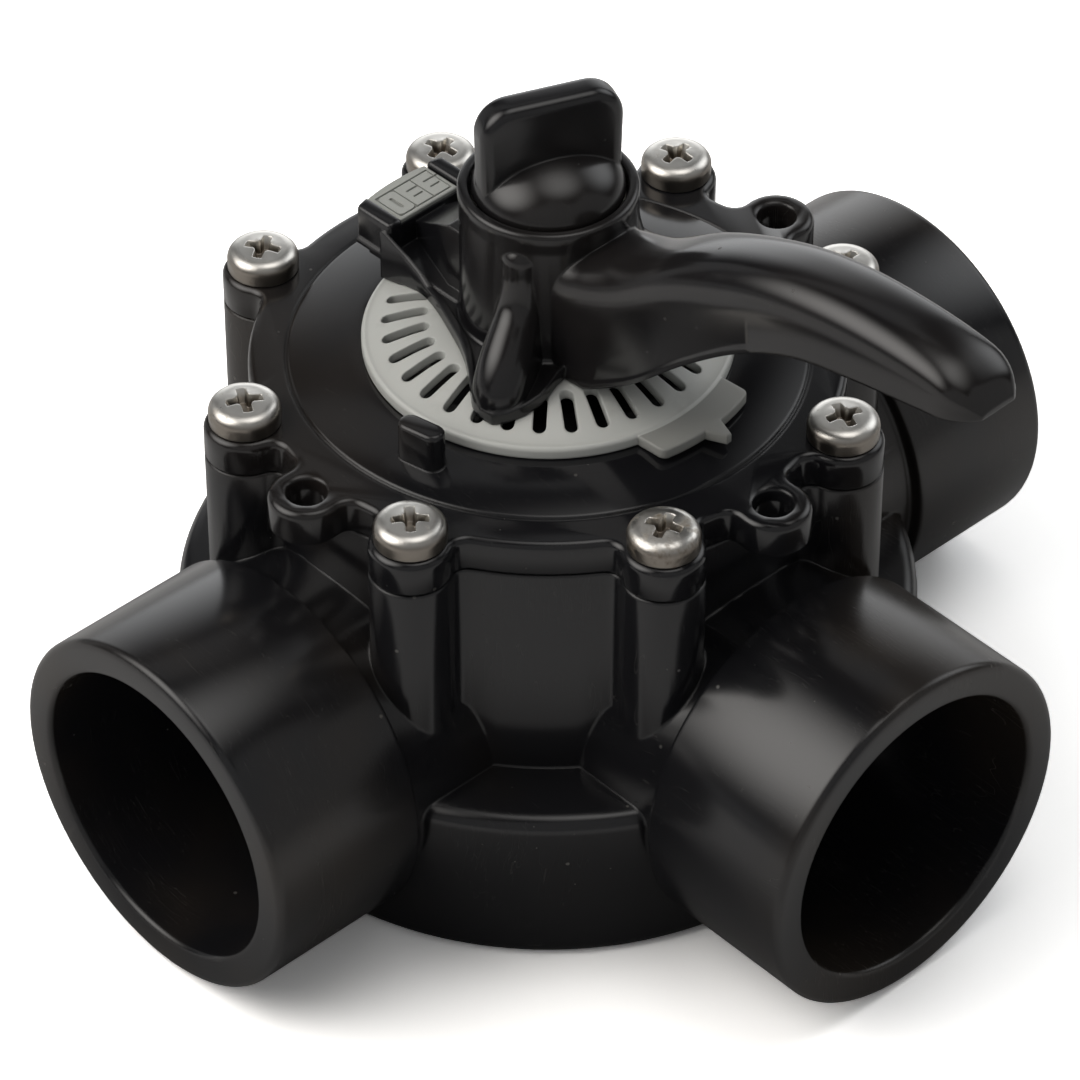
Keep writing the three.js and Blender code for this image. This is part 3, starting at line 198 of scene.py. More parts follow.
class FinishValues(PropertyGroup):
    """Colours of the materials."""

    black: colour("Black plastic", "Moulded body, lid and handle", (0.0085, 0.0085, 0.0098))
    ring_grey: colour("Ring grey", "Stop ring", (0.55, 0.56, 0.535))
    label_grey: colour("Label grey", "OFF label", (0.36, 0.37, 0.345))
    steel: colour("Stainless steel", "Lid screws", (0.72, 0.705, 0.67))
    nylon: colour("Nylon", "Washers", (0.62, 0.60, 0.54))


def values(group):
    """The values of one group, as held by the scene."""
    return getattr(bpy.context.scene, group)


# ------------------------------------------------------------------------------------- shapes


def place(radius, degrees, height=0.0):
    """A point on a circle round the valve's axis."""
    angle = math.radians(degrees)
    return Vector((radius * math.cos(angle), radius * math.sin(angle), height))


def arc(centre, radius, start, end, steps):
    """Points of an arc in a plane, in degrees, from start to end."""
    points = []
    for i in range(steps + 1):
        angle = math.radians(start + (end - start) * i / steps)
        points.append((centre[0] + radius * math.cos(angle), centre[1] + radius * math.sin(angle)))
    return points


def lathe(profile, steps=128):
    """A solid of revolution about Z. The profile is pairs of radius and height, and ends on the axis
    or closes on itself."""
    bm = bmesh.new()
    closed = math.dist(profile[0], profile[-1]) < 1e-9
    corners = profile[:-1] if closed else profile
    verts = [bm.verts.new((radius, 0.0, height)) for radius, height in corners]
    edges = [bm.edges.new(pair) for pair in zip(verts, verts[1:])]
    if closed:
        edges.append(bm.edges.new((verts[-1], verts[0])))
    bmesh.ops.spin(
        bm, geom=verts + edges, cent=(0, 0, 0), axis=(0, 0, 1), angle=FULL_TURN, steps=steps,
        use_merge=True, use_duplicate=False,
    )
    bmesh.ops.remove_doubles(bm, verts=bm.verts, dist=1e-7)
    bmesh.ops.recalc_face_normals(bm, faces=bm.faces)
    return bm


def along_port(bm, degrees, height):
    """Lays a lathed shape along a port: its height becomes the reach from the valve's axis."""
    lay = Matrix.Rotation(math.pi / 2, 4, "Y")
    aim = Matrix.Rotation(math.radians(degrees), 4, "Z")
    bmesh.ops.transform(bm, matrix=Matrix.Translation((0, 0, height)) @ aim @ lay, verts=bm.verts)
    return bm


def prism(outline, base, top):
    """An outline in the X-Y plane, extruded from base to top."""
    bm = bmesh.new()
    verts = [bm.verts.new((x, y, base)) for x, y in outline]
    face = bm.faces.new(verts)
    raised = bmesh.ops.extrude_face_region(bm, geom=[face])
    moved = [item for item in raised["geom"] if isinstance(item, bmesh.types.BMVert)]
    bmesh.ops.translate(bm, verts=moved, vec=(0, 0, top - base))
    bmesh.ops.recalc_face_normals(bm, faces=bm.faces)
    return bm


def upright(bm):
    """Stands a prism up: its outline's Y becomes height, and it is centred on the X-Z plane."""
    bmesh.ops.transform(bm, matrix=Matrix.Rotation(math.pi / 2, 4, "X"), verts=bm.verts)
    return bm


def turned(bm, radians, offset=(0, 0, 0)):
    """Moves a shape by offset, then turns it about the valve's axis."""
    spin = Matrix.Rotation(radians, 4, "Z")
    bmesh.ops.transform(bm, matrix=spin @ Matrix.Translation(offset), verts=bm.verts)
    return bm


def box(low, high):
    """A box between two corners."""
    outline = [(low[0], low[1]), (high[0], low[1]), (high[0], high[1]), (low[0], high[1])]
    return prism(outline, low[2], high[2])


def round_edges(bm, edges, radius, segments=3):
    """Rounds the given edges."""
    bmesh.ops.bevel(
        bm, geom=list(edges), offset=radius, offset_type="OFFSET", segments=segments, profile=0.5,
        affect="EDGES", material=-1, clamp_overlap=True, miter_outer="ARC",
    )
    return bm


def flat_edges(bm, height):
    """The edges of a prism that lie at one height and bound its cap."""
    return [
        edge for edge in bm.edges
        if all(abs(vert.co.z - height) < 1e-6 for vert in edge.verts)
        and edge.is_manifold and edge.calc_face_angle(0.0) > math.radians(20)
    ]


def rounded_box(low, high, radius, segments=3):
    """A box with every edge rounded."""
    bm = box(low, high)
    return round_edges(bm, bm.edges[:], radius, segments)


def obround(half_length, half_width, steps=8):
    """An outline with straight sides along Y and round ends."""
    straight = half_length - half_width
    return arc((0, straight), half_width, 0, 180, steps) + arc((0, -straight), half_width, 180, 360, steps)


def lobed_outline(radius, lobes, fillet, lobe_steps=18, fillet_steps=6, disc_step=3.0):
    """A disc's outline with round lobes on it, and a hollow fillet on each side of every lobe. A lobe
    is its angle in degrees, its centre's reach and its radius."""

    def corner(near, other, opposite):
        return math.degrees(math.acos((near**2 + other**2 - opposite**2) / (2 * near * other)))

    placed = []
    for angle, reach, lobe_radius in sorted(lobes):
        to_disc, to_lobe = radius + fillet, lobe_radius + fillet
        at_disc = corner(to_disc, reach, to_lobe)
        at_lobe = corner(to_lobe, reach, to_disc)
        placed.append((angle, reach, lobe_radius, to_disc, at_disc, at_lobe))
    points = []
    for i, (angle, reach, lobe_radius, to_disc, at_disc, at_lobe) in enumerate(placed):
        following = placed[(i + 1) % len(placed)]
        next_start = following[0] - following[4] + (360 if i + 1 == len(placed) else 0)
        before = place(to_disc, angle - at_disc).xy
        after = place(to_disc, angle + at_disc).xy
        middle = place(reach, angle).xy
        points += arc(before, fillet, angle - at_disc + 180, angle + at_lobe, fillet_steps)
        points += arc(middle, lobe_radius, angle - 180 + at_lobe, angle + 180 - at_lobe, lobe_steps)[1:]
        points += arc(after, fillet, angle - at_lobe, angle + at_disc - 180, fillet_steps)[1:]
        steps = max(1, round((next_start - angle - at_disc) / disc_step))
        points += arc((0, 0), radius, angle + at_disc, next_start, steps)[1:-1]
    return points


def linked(name, bm):
    """A new object in the scene, made from a bmesh."""
    mesh = bpy.data.meshes.new(name)
    bm.to_mesh(mesh)
    bm.free()
    obj = bpy.data.objects.new(name, mesh)
    bpy.context.scene.collection.objects.link(obj)
    return obj


def applied(obj):
    """Makes an object's modifiers part of its mesh."""
    graph = bpy.context.evaluated_depsgraph_get()
    mesh = bpy.data.meshes.new_from_object(obj.evaluated_get(graph))
    old = obj.data
    obj.modifiers.clear()
    obj.data = mesh
    bpy.data.meshes.remove(old)
    mesh.name = obj.name
    return obj


def combined(obj, shapes, operation):
    """Joins or cuts an object with each shape in turn."""
    for shape in shapes:
        tool = linked("tool", shape)
        modifier = obj.modifiers.new("combine", "BOOLEAN")
        modifier.operation = operation
        modifier.solver = "MANIFOLD"
        modifier.object = tool
        applied(obj)
        bpy.data.objects.remove(tool)
    return obj


def moulded(name, solids, cuts=()):
    """One closed mesh: the solids joined, less the cuts."""
    obj = linked(name, solids[0])
    combined(obj, solids[1:], "UNION")
    combined(obj, cuts, "DIFFERENCE")
    return obj


def smoothed(obj, degrees=32):
    """Smooth shading, except over edges sharper than the angle."""
    mesh = obj.data
    mesh.polygons.foreach_set("use_smooth", [True] * len(mesh.polygons))
    mesh.set_sharp_from_angle(angle=math.radians(degrees))
    return obj


def finished(obj, material, body, slot, *nodes):
    """Gives a piece its material and its place in the frame."""
    obj.data.materials.clear()
    obj.data.materials.append(material)
    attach(obj, body)
    if nodes:
        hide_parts(*nodes)
    return obj


# ------------------------------------------------------------------------------------- shader maths


class Value:
    """A shader socket that Python's operators can be used on; each adds a Math node."""

    def __init__(self, shader, socket):
        self.shader = shader
        self.socket = socket

    def maths(self, operation, *inputs):
        """A Math node on this value and others."""
        return self.shader.node(
            "ShaderNodeMath", {"operation": operation}, {i: value for i, value in enumerate(inputs)},
        )

    def __add__(self, other):
        return self.maths("ADD", self, other)

    __radd__ = __add__

    def __sub__(self, other):
        return self.maths("SUBTRACT", self, other)

    def __rsub__(self, other):
        return self.maths("SUBTRACT", other, self)

    def __mul__(self, other):
        return self.maths("MULTIPLY", self, other)

    __rmul__ = __mul__

    def __pow__(self, other):
        return self.maths("POWER", self, other)

    def clamped(self):
        """This value, kept between 0 and 1."""
        return self.shader.node(
            "ShaderNodeMath", {"operation": "ADD", "use_clamp": True}, {0: self, 1: 0.0},
        )


class Shader:
    """A material's node tree, built by calls."""

    def __init__(self, name):
        self.material = bpy.data.materials.new(name)
        self.material.use_nodes = True
        self.tree = self.material.node_tree
        self.surface = self.tree.nodes["Principled BSDF"]

    def node(self, kind, settings=None, inputs=None, output=0):
        """Adds a node: its settings first, then the values or links of its sockets. Gives an output."""
        node = self.tree.nodes.new(kind)
        for name, value in (settings or {}).items():
            setattr(node, name, value)
        for name, value in (inputs or {}).items():
            self.feed(node.inputs[name], value)
        return Value(self, node.outputs[output])

    def feed(self, socket, value):
        """Links a value to a socket, or sets the socket's own number or colour."""
        if isinstance(value, Value):
            self.tree.links.new(value.socket, socket)
        elif socket.type == "RGBA":
            socket.default_value = (*value, 1.0)
        else:
            socket.default_value = value

    def set(self, **inputs):
        """Sets or links the surface shader's sockets, named with underscores for spaces."""
        for name, value in inputs.items():
            self.feed(self.surface.inputs[name.replace("_", " ")], value)
        return self.material

    def place(self):
        """Object coordinates, in metres."""
        return self.node("ShaderNodeTexCoord", output="Object")

    def parts(self, vector):
        """The X, Y and Z of a vector."""
        split = self.node("ShaderNodeSeparateXYZ", inputs={"Vector": vector}).socket.node
        return [Value(self, split.outputs[axis]) for axis in "XYZ"]

    def radius(self):
        """Distance from the valve's axis."""
        x, y, _ = self.parts(self.place())
        return (x * x + y * y) ** 0.5

    def noise(self, per_metre, detail=3.0, roughness=0.5, stretch=(1, 1, 1), lift=0.0):
        """Noise of a number of blobs per metre, stretched along an axis."""
        moved = self.node(
            "ShaderNodeMapping", inputs={
                "Vector": self.place(), "Scale": stretch, "Location": (lift, lift, lift),
            },
        )
        return self.node(
            "ShaderNodeTexNoise", inputs={
                "Vector": moved, "Scale": per_metre, "Detail": detail, "Roughness": roughness,
            },
        )

    def step(self, value, low, high):
        """0 below low, 1 above high, and a smooth rise between."""
        return self.node(
            "ShaderNodeMapRange", {"interpolation_type": "SMOOTHSTEP"},
            {"Value": value, "From Min": low, "From Max": high},
        )

    def specks(self, per_metre, size, lift=0.0):
        """1 on small dots scattered over the surface, 0 elsewhere."""
        moved = self.node(
            "ShaderNodeMapping", inputs={"Vector": self.place(), "Location": (lift, lift, lift)},
        )
        near = self.node(
            "ShaderNodeTexVoronoi", {"feature": "F1"}, {"Vector": moved, "Scale": per_metre},
            output="Distance",
        )
        return 1.0 - self.step(near, size * 0.6, size)

    def scratches(self, per_metre, tilt):
        """1 on thin scratches that run at an angle, broken into short lengths."""
        moved = self.node(
            "ShaderNodeMapping", inputs={
                "Vector": self.place(), "Rotation": tilt, "Scale": (1.0, 0.06, 0.06),
            },
        )
        lines = self.node(
            "ShaderNodeTexNoise", inputs={
                "Vector": moved, "Scale": per_metre, "Detail": 1.0, "Roughness": 0.4,
            },
        )
        ridge = 1.0 - self.node("ShaderNodeMath", {"operation": "ABSOLUTE"}, {0: lines - 0.5}) * 2.0
        broken = self.step(self.noise(60, detail=1.0, lift=tilt[0]), 0.52, 0.60)
        return self.step(ridge, 0.985, 1.0) * broken

    def mix(self, factor, first, second):
        """A colour between two colours."""
        node = self.tree.nodes.new("ShaderNodeMix")
        node.data_type = "RGBA"
        self.feed(node.inputs["Factor"], factor)
        self.feed(node.inputs[6], first)
        self.feed(node.inputs[7], second)
        return Value(self, node.outputs[2])

    def relief(self, height, distance, strength=1.0, edge=0.0):
        """A surface normal: bumps of a height in metres, over edges eased by a radius."""
        inputs = {"Height": height, "Distance": distance, "Strength": strength}
        if edge:
            inputs["Normal"] = self.node("ShaderNodeBevel", {"samples": 6}, {"Radius": edge})
        return self.node("ShaderNodeBump", inputs=inputs)


# ------------------------------------------------------------------------------------- materials


def moulded_black(name, base, gloss, wear, edge):
    """Black moulded plastic: fine flow marks, rubbed patches, hair scratches and a little dust."""
    shader = Shader(name)
    cloud = shader.noise(28, detail=4.0)
    fine = shader.noise(900, detail=2.0)
    rubbed = shader.step(shader.noise(14, detail=3.0, lift=3.1), 0.44, 0.62)
    hair = shader.scratches(1100, (0.4, 0.2, 0.7)) + shader.scratches(1500, (1.3, 0.5, 2.1))
    dust = shader.specks(150, 0.075) + shader.specks(260, 0.05, lift=0.013)
    dust = dust * shader.step(shader.noise(35, detail=2.0, lift=1.7), 0.5, 0.62)
    warm = shader.mix(rubbed * wear, tuple(base), (0.022, 0.0175, 0.014))
    dusty = shader.mix((dust * 0.5 * wear + hair * 0.08 * wear).clamped(), warm, (0.22, 0.21, 0.19))
    rough = gloss + cloud * 0.05 + rubbed * 0.08 * wear + fine * 0.03 + hair * 0.07 * wear + dust * 0.3
    waves = shader.noise(55, detail=1.0) * 0.6 + fine * 0.02 - hair * 0.01 * wear + dust * 0.05
    return shader.set(
        Base_Color=dusty, Roughness=rough, IOR=1.52,
        Normal=shader.relief(waves, 0.00012, 0.5, edge),
    )


def lid_black(finish):
    """The lid's plastic, with a rubbed sheen."""
    return moulded_black("lid_plastic", finish.black, 0.09, 0.55, 0.0007)


def body_plastic(finish):
    """The body's plastic, glossy and much rubbed."""
    return moulded_black("body_plastic", finish.black, 0.14, 0.9, 0.0009)


def handle_plastic(finish):
    """The handle's plastic, polished by use."""
    return moulded_black("handle_plastic", finish.black, 0.12, 0.3, 0.0007)


def knob_plastic(finish):
    """The knob's plastic, as glossy as the handle's."""
    return moulded_black("knob_plastic", finish.black, 0.15, 0.35, 0.0006)


def ring_plastic(finish):
    """The stop ring's pale plastic, with its tab in a darker, flatter grey."""
    shader = Shader("ring_plastic")
    mottle = shader.noise(90, detail=3.0)
    fine = shader.noise(1400, detail=1.0)
    on_tab = shader.step(shader.radius(), 0.03575, 0.0360)
    dirt = shader.step(shader.noise(120, detail=4.0, lift=0.7), 0.56, 0.72)
    pale = shader.mix(mottle * 0.35, tuple(finish.ring_grey), (0.61, 0.62, 0.59))
    soiled = shader.mix(dirt * 0.25, pale, (0.30, 0.295, 0.27))
    ring_colour = shader.mix(on_tab, soiled, (0.285, 0.287, 0.27))
    return shader.set(
        Base_Color=ring_colour, Roughness=0.27 + mottle * 0.1 + on_tab * 0.12, IOR=1.5,
        Normal=shader.relief(mottle * 0.5 + fine * 0.08, 0.0001, 0.4, 0.0006),
    )


def label_plastic(finish):
    """The label's grey plastic, with a soft grain, darker in its sunk field, its grooves and down its sides.
    """
    shader = Shader("label_plastic")
    mottle = shader.noise(160, detail=3.0)
    _, _, height = shader.parts(shader.place())
    low = 1.0 - shader.step(height, LABEL_HIGH.z - 0.00055, LABEL_HIGH.z - 0.0001)
    face = shader.mix(mottle * 0.3, tuple(finish.label_grey), (0.42, 0.43, 0.41))
    return shader.set(
        Base_Color=shader.mix(low * 0.55, face, (0.16, 0.165, 0.15)),
        Roughness=0.34 + mottle * 0.12, IOR=1.5,
        Normal=shader.relief(mottle, 0.00006, 0.35, 0.00025),
    )


def stainless(name, finish, wear):
    """Stainless steel, turned and tumbled: brushed rings, small dents and stains, and painted shade in its
    recess and round the foot of its head.
    """
    shader = Shader(name)
    grain = shader.noise(2600, detail=2.0, stretch=(1, 1, 0.15))
    dents = shader.noise(420, detail=3.0, lift=0.3)
    _, _, height = shader.parts(shader.place())
    # Painted shade: below 3 mm above the lid's top, which takes in the cross recess and the foot of the head,
    # the steel is darkened, fading out by 4.7 mm.
    painted_recess_shade = 1.0 - shader.step(height, LID_TOP + 0.0030, LID_TOP + 0.0047)
    stain = shader.step(shader.noise(330, detail=5.0, roughness=0.65, lift=2.4), 0.62 - 0.16 * wear, 0.74)
    clean = shader.mix(dents * 0.35, tuple(finish.steel), (0.80, 0.78, 0.73))
    aged = shader.mix(stain * (0.35 + 0.55 * wear), clean, (0.30, 0.25, 0.19))
    # Mixes the painted recess shade in towards dark brown.
    dark = shader.mix(painted_recess_shade * 0.8, aged, (0.16, 0.13, 0.10))
    rough = 0.22 + dents * 0.10 + grain * 0.08 + stain * 0.30 * (0.4 + wear)
    return shader.set(
        Base_Color=dark, Metallic=1.0, Roughness=rough,
        Normal=shader.relief(dents * (0.5 + wear * 2.0) + grain * 0.1, 0.00012, 0.45, 0.0004),
    )


def plain_plastic(name, shade, roughness):
    """A hidden part's plastic, with moulding flow marks."""
    shader = Shader(name)
    flow = shader.noise(45, detail=4.0, stretch=(1, 1, 0.4))
    fine = shader.noise(1100, detail=1.0)
    return shader.set(
        Base_Color=shader.mix(flow * 0.4, shade, tuple(c * 0.72 for c in shade)),
        Roughness=roughness + flow * 0.12, IOR=1.5,
        Normal=shader.relief(flow + fine * 0.1, 0.0001, 0.4, 0.0004),
    )


def rubber():
    """Seal rubber: matt, finely pitted, with a greasy bloom in patches."""
    shader = Shader("rubber")
    bloom = shader.step(shader.noise(160, detail=4.0), 0.48, 0.66)
    pits = shader.noise(2200, detail=2.0)
    return shader.set(
        Base_Color=shader.mix(bloom * 0.5, (0.011, 0.011, 0.011), (0.035, 0.034, 0.032)),
        Roughness=0.55 + bloom * 0.2, IOR=1.5, Normal=shader.relief(pits, 0.00005, 0.6),
    )


# ------------------------------------------------------------------------------------- body


def rounded(radius, height, edge, start, end, steps=6):
    """A quarter turn of an edge's rounding in a lathe profile."""
    return arc((radius, height), edge, start, end, steps)


def drum(v):
    """The round foot: a drafted skirt with an open pocket under it, and a floor under the chamber."""
    inner_foot = v.drum_base_radius - v.drum_wall
    inner_top = DRUM_RADIUS - v.drum_wall
    roof = v.drum_top - v.drum_wall
    foot_edge = 3 * MM
    return lathe([
        (0.0, 0.0),
        *rounded(v.barrel_radius - 0.8 * MM, 0.8 * MM, 0.8 * MM, 270, 360, 3),
        *rounded(v.barrel_radius + 1 * MM, roof - 1 * MM, 1 * MM, 180, 90, 3),
        *rounded(inner_top - 1 * MM, roof - 1 * MM, 1 * MM, 90, 0, 3),
        *rounded(inner_foot + 0.7 * MM, 0.7 * MM, 0.7 * MM, 180, 270, 3),
        *rounded(v.drum_base_radius - foot_edge, foot_edge, foot_edge, 270, 360),
        *rounded(DRUM_RADIUS - v.drum_edge, v.drum_top - v.drum_edge, v.drum_edge, 0, 90),
        (0.0, v.drum_top),
    ], 160)


def port_tube(v, degrees):
    """A port's neck and its thicker tube, solid until it is bored."""
    start = v.barrel_radius - v.tube_radius
    shape = lathe([
        (0.0, start),
        (v.neck_radius, start),
        *rounded(v.neck_radius + 0.8 * MM, v.tube_start - 0.8 * MM, 0.8 * MM, 180, 90, 4),
        *rounded(v.tube_radius - 0.7 * MM, v.tube_start + 0.7 * MM, 0.7 * MM, 270, 360, 4),
        *rounded(v.tube_radius - v.tube_edge, PORT_REACH - v.tube_edge, v.tube_edge, 0, 90),
        (0.0, PORT_REACH),
    ])
    return along_port(shape, degrees, v.port_height)


def port_bore(v, degrees):
    """The space inside a port: the waterway, the socket's stop and the socket with its eased mouth."""
    stop = PORT_REACH - v.socket_depth
    mouth = 1.2 * MM
    shape = lathe([
        (0.0, v.chamber_radius - v.tube_radius),
        (v.waterway_radius, v.chamber_radius - v.tube_radius),
        *rounded(v.waterway_radius + 0.8 * MM, stop - 0.8 * MM, 0.8 * MM, 180, 90, 3),
        (v.socket_radius, stop),
        *rounded(v.socket_radius + mouth, PORT_REACH - mouth, mouth, 180, 90, 4),
        (v.socket_radius + mouth, PORT_REACH + MM),
        (0.0, PORT_REACH + MM),
    ])
    return along_port(shape, degrees, v.port_height)


class VALVE_OT_body(Operator):
    """Builds the moulded body: drum, barrel with its screw columns, three ports and the chamber"""

    bl_idname = "valve.body"
    bl_label = "Body"

    def execute(self, context):
        v = values("valve_body_values")
        columns = [(angle, SCREW_CIRCLE, v.boss_radius) for angle in SCREW_ANGLES]
        barrel = prism(lobed_outline(v.barrel_radius, columns, v.fillet), v.drum_top - MM, SEAM)
        round_edges(barrel, flat_edges(barrel, SEAM), 0.35 * MM, 2)
        ribs = []
        for angle in RIB_ANGLES:
            low = (v.barrel_radius - MM, -1.6 * MM, 3 * MM)
            high = (DRUM_RADIUS - v.drum_wall + 0.5 * MM, 1.6 * MM, v.drum_top - MM)
            ribs.append(turned(rounded_box(low, high, 0.5 * MM, 2), math.radians(angle)))
        pivot = lathe([
            (6 * MM, 5 * MM), (11.5 * MM, 5 * MM), (11 * MM, 7 * MM), (10.5 * MM, 14 * MM), (6 * MM, 14 * MM),
            (6 * MM, 5 * MM),
        ], 64)
        chamber = lathe([
            (0.0, 6 * MM), (v.chamber_radius - 2 * MM, 6 * MM),
            *rounded(v.chamber_radius - 2 * MM, 8 * MM, 2 * MM, 270, 360, 4),
            (v.chamber_radius, SEAM + MM), (0.0, SEAM + MM),
        ], 160)
        holes = [
            turned(lathe([
                (0.0, 66.4 * MM), (SCREW_PILOT, 67.4 * MM), (SCREW_PILOT, SEAM - 0.4 * MM),
                (4 * MM, SEAM + 0.2 * MM), (4 * MM, SEAM + MM), (0.0, SEAM + MM),
            ], 32), math.radians(angle), (SCREW_CIRCLE, 0, 0))
            for angle in SCREW_ANGLES
        ]
        tubes = [port_tube(v, angle) for angle in PORT_ANGLES]
        bores = [port_bore(v, angle) for angle in PORT_ANGLES]
        body = moulded("body", [drum(v), barrel, *tubes, *ribs], [chamber, *bores, *holes])
        combined(body, [pivot], "UNION")
        smoothed(body)
        finished(body, body_plastic(values("finish_values")), "valve", "body_plastic", "valve_body")
        return {"FINISHED"}


# ------------------------------------------------------------------------------------- lid


class VALVE_OT_lid(Operator):
    """Builds the lid: scalloped plate, crown, stop post, ears, spigot and shaft housing"""

    bl_idname = "valve.lid"
    bl_label = "Lid"

    def execute(self, context):
        v = values("lid_values")
        b = values("valve_body_values")
        columns = [(angle, SCREW_CIRCLE, b.boss_radius) for angle in SCREW_ANGLES]
        ears = [(angle, v.ear_circle, v.ear_radius) for angle in EAR_ANGLES]
        plate = prism(lobed_outline(b.barrel_radius, columns + ears, b.fillet), LID_BASE, LID_TOP)
        round_edges(plate, flat_edges(plate, LID_TOP), v.edge, 5)
        round_edges(plate, flat_edges(plate, LID_BASE), 0.35 * MM, 2)
        crown_top = LID_TOP + v.crown_height
        crown = lathe([
            (0.0, LID_TOP - MM), (v.crown_outer, LID_TOP - MM),
            *rounded(v.crown_outer - 0.5 * MM, LID_TOP - 0.1 * MM, 0.5 * MM, 0, 80, 4),
            (v.crown_inner + 2 * MM, crown_top - 0.15 * MM),
            (v.crown_inner, crown_top), (0.0, crown_top),
        ], 160)
        groove = lathe([
            (v.crown_outer, LID_TOP - 0.25 * MM), (v.crown_outer + 0.5 * MM, LID_TOP - 0.25 * MM),
            (v.crown_outer + 1.1 * MM, LID_TOP + 0.5 * MM), (v.crown_outer, LID_TOP + 0.5 * MM),
            (v.crown_outer, LID_TOP - 0.25 * MM),
        ], 160)
        spigot = b.chamber_radius - GAP
        base = LID_BASE - 9 * MM
        skirt = lathe([
            (spigot - 6 * MM, base), (spigot - 1 * MM, base), (spigot, base + MM),
            (spigot, LID_BASE + MM), (spigot - 6 * MM, LID_BASE + MM), (spigot - 6 * MM, base),
        ], 128)
        housing = lathe([
            (0.0, HOUSING_BASE), (13.2 * MM, HOUSING_BASE), (HOUSING_RADIUS, 77.1 * MM),
            (HOUSING_RADIUS, crown_top + 2.6 * MM), (13.6 * MM, crown_top + 3 * MM),
            (0.0, crown_top + 3 * MM),
        ], 64)
        post = prism(obround(4.9 * MM, 2.35 * MM), LID_TOP - MM, v.post_top)
        round_edges(post, flat_edges(post, v.post_top), 0.8 * MM, 4)
        turned(post, v.post_turn, (v.post_circle, 0, 0))
        recess = lathe([
            (HOUSING_RADIUS, LID_BASE - MM), (spigot - 6 * MM, LID_BASE - MM),
            (spigot - 6 * MM, LID_TOP - 6.8 * MM), (spigot - 6.8 * MM, LID_TOP - 6 * MM),
            (14.8 * MM, LID_TOP - 6 * MM), (HOUSING_RADIUS, LID_TOP - 6.8 * MM),
            (HOUSING_RADIUS, LID_BASE - MM),
        ], 128)
        seal_height = LID_BASE - 4.5 * MM
        seal_groove = lathe([
            (spigot - 3.7 * MM, seal_height - 2 * MM), (spigot + MM, seal_height - 2 * MM),
            (spigot + MM, seal_height + 2 * MM), (spigot - 3.7 * MM, seal_height + 2 * MM),
            (spigot - 3.7 * MM, seal_height - 2 * MM),
        ], 128)
        bore = lathe([(0.0, 70 * MM), (SHAFT_BORE, 70 * MM), (SHAFT_BORE, RING_TOP), (0.0, RING_TOP)], 64)
        screw_holes = [
            turned(lathe([
                (0.0, LID_BASE - MM), (3.6 * MM, LID_BASE - MM),
                (3.6 * MM, LID_TOP + MM), (0.0, LID_TOP + MM),
            ], 32), math.radians(angle), (SCREW_CIRCLE, 0, 0))
            for angle in SCREW_ANGLES
        ]
        chamfer = 0.8 * MM
        ear_holes = [
            turned(lathe([
                (0.0, LID_BASE - MM), (v.ear_hole + 0.4 * MM, LID_BASE - MM),
                (v.ear_hole, LID_BASE + 0.4 * MM), (v.ear_hole, LID_TOP - chamfer),
                (v.ear_hole + 0.3 * chamfer, LID_TOP - 0.4 * chamfer),
                (v.ear_hole + chamfer, LID_TOP), (v.ear_hole + chamfer, LID_TOP + MM), (0.0, LID_TOP + MM),
            ], 48), math.radians(angle), (v.ear_circle, 0, 0))
            for angle in EAR_ANGLES
        ]
        lid = moulded(
            "lid_cover", [plate, crown, skirt, housing, post],
            [groove, recess, seal_groove, bore, *screw_holes, *ear_holes],
        )
        smoothed(lid)
        finished(lid, lid_black(values("finish_values")), "valve", "lid_plastic", "lid")
        return {"FINISHED"}


# ------------------------------------------------------------------------------------- screws


def recess_cross(top):
    """The cross recess, narrowing as it goes down."""
    half, reach, corner = 1.05 * MM, 3.85 * MM, 1.0 * MM
    outline = []
    for quarter in range(4):
        spin = Matrix.Rotation(quarter * math.pi / 2, 2)
        arm = [(reach, -half), (reach + 0.25 * MM, 0.0), (reach, half)]
        arm += arc((half + corner, half + corner), corner, 270, 180, 5)
        outline += [tuple(spin @ Vector(point)) for point in arm]
    bm = prism(outline, top - 2.9 * MM, top + 0.4 * MM)
    floor = [vert for vert in bm.verts if vert.co.z < top - 2 * MM]
    bmesh.ops.scale(bm, verts=floor, vec=(0.55, 0.55, 1.0))
    return bm


def screw(turn):
    """A pan-head screw with a cross recess and a rolled thread."""
    seat = LID_TOP + 0.05 * MM
    top = LID_TOP + GAP + SCREW_HEAD
    tip = LID_TOP + GAP - SCREW_LENGTH
    crest, root, pitch = 3.1 * MM, 2.45 * MM, 1.6 * MM
    thread = []
    height = tip + 3.2 * MM
    while height < seat - 6 * MM:
        thread += [(root, height), (crest, height + 0.45 * pitch), (crest, height + 0.6 * pitch)]
        height += pitch
    dome = []
    for i in range(13):
        angle = math.radians(90 * i / 12)
        dome.append((
            3.7 * MM + 3.3 * MM * math.cos(angle) ** 0.85,
            top - 0.35 * MM - 2.5 * MM + 2.5 * MM * math.sin(angle) ** 0.9,
        ))
    shape = lathe([
        (0.0, tip), (1.3 * MM, tip), (root, tip + 2.6 * MM), *thread, (crest, seat - 5 * MM), (crest, seat),
        (6.7 * MM, seat), (6.95 * MM, seat + 0.25 * MM), *dome, (1.9 * MM, top - EASE), (0.0, top),
    ], 64)
    return shape, turned(recess_cross(top), math.radians(turn))


class VALVE_OT_screws(Operator):
    """Builds the eight stainless lid screws, each stopped at its own angle"""

    bl_idname = "valve.screws"
    bl_label = "Lid screws"

    def execute(self, context):
        finish = values("finish_values")
        bright = stainless("stainless_steel", finish, 0.15)
        stained = stainless("stained_steel", finish, 1.0)
        for i, (angle, node) in enumerate(zip(SCREW_ANGLES, SCREW_NODES)):
            shape, cross = screw(CROSS_TURNS[i])
            piece = moulded(f"screw_{i + 1}", [shape], [cross])
            piece.data.transform(Matrix.Translation(place(SCREW_CIRCLE, angle)))
            smoothed(piece, 38)
            finished(piece, stained if i == STAINED_SCREW else bright, "valve", "stainless", node)
        return {"FINISHED"}


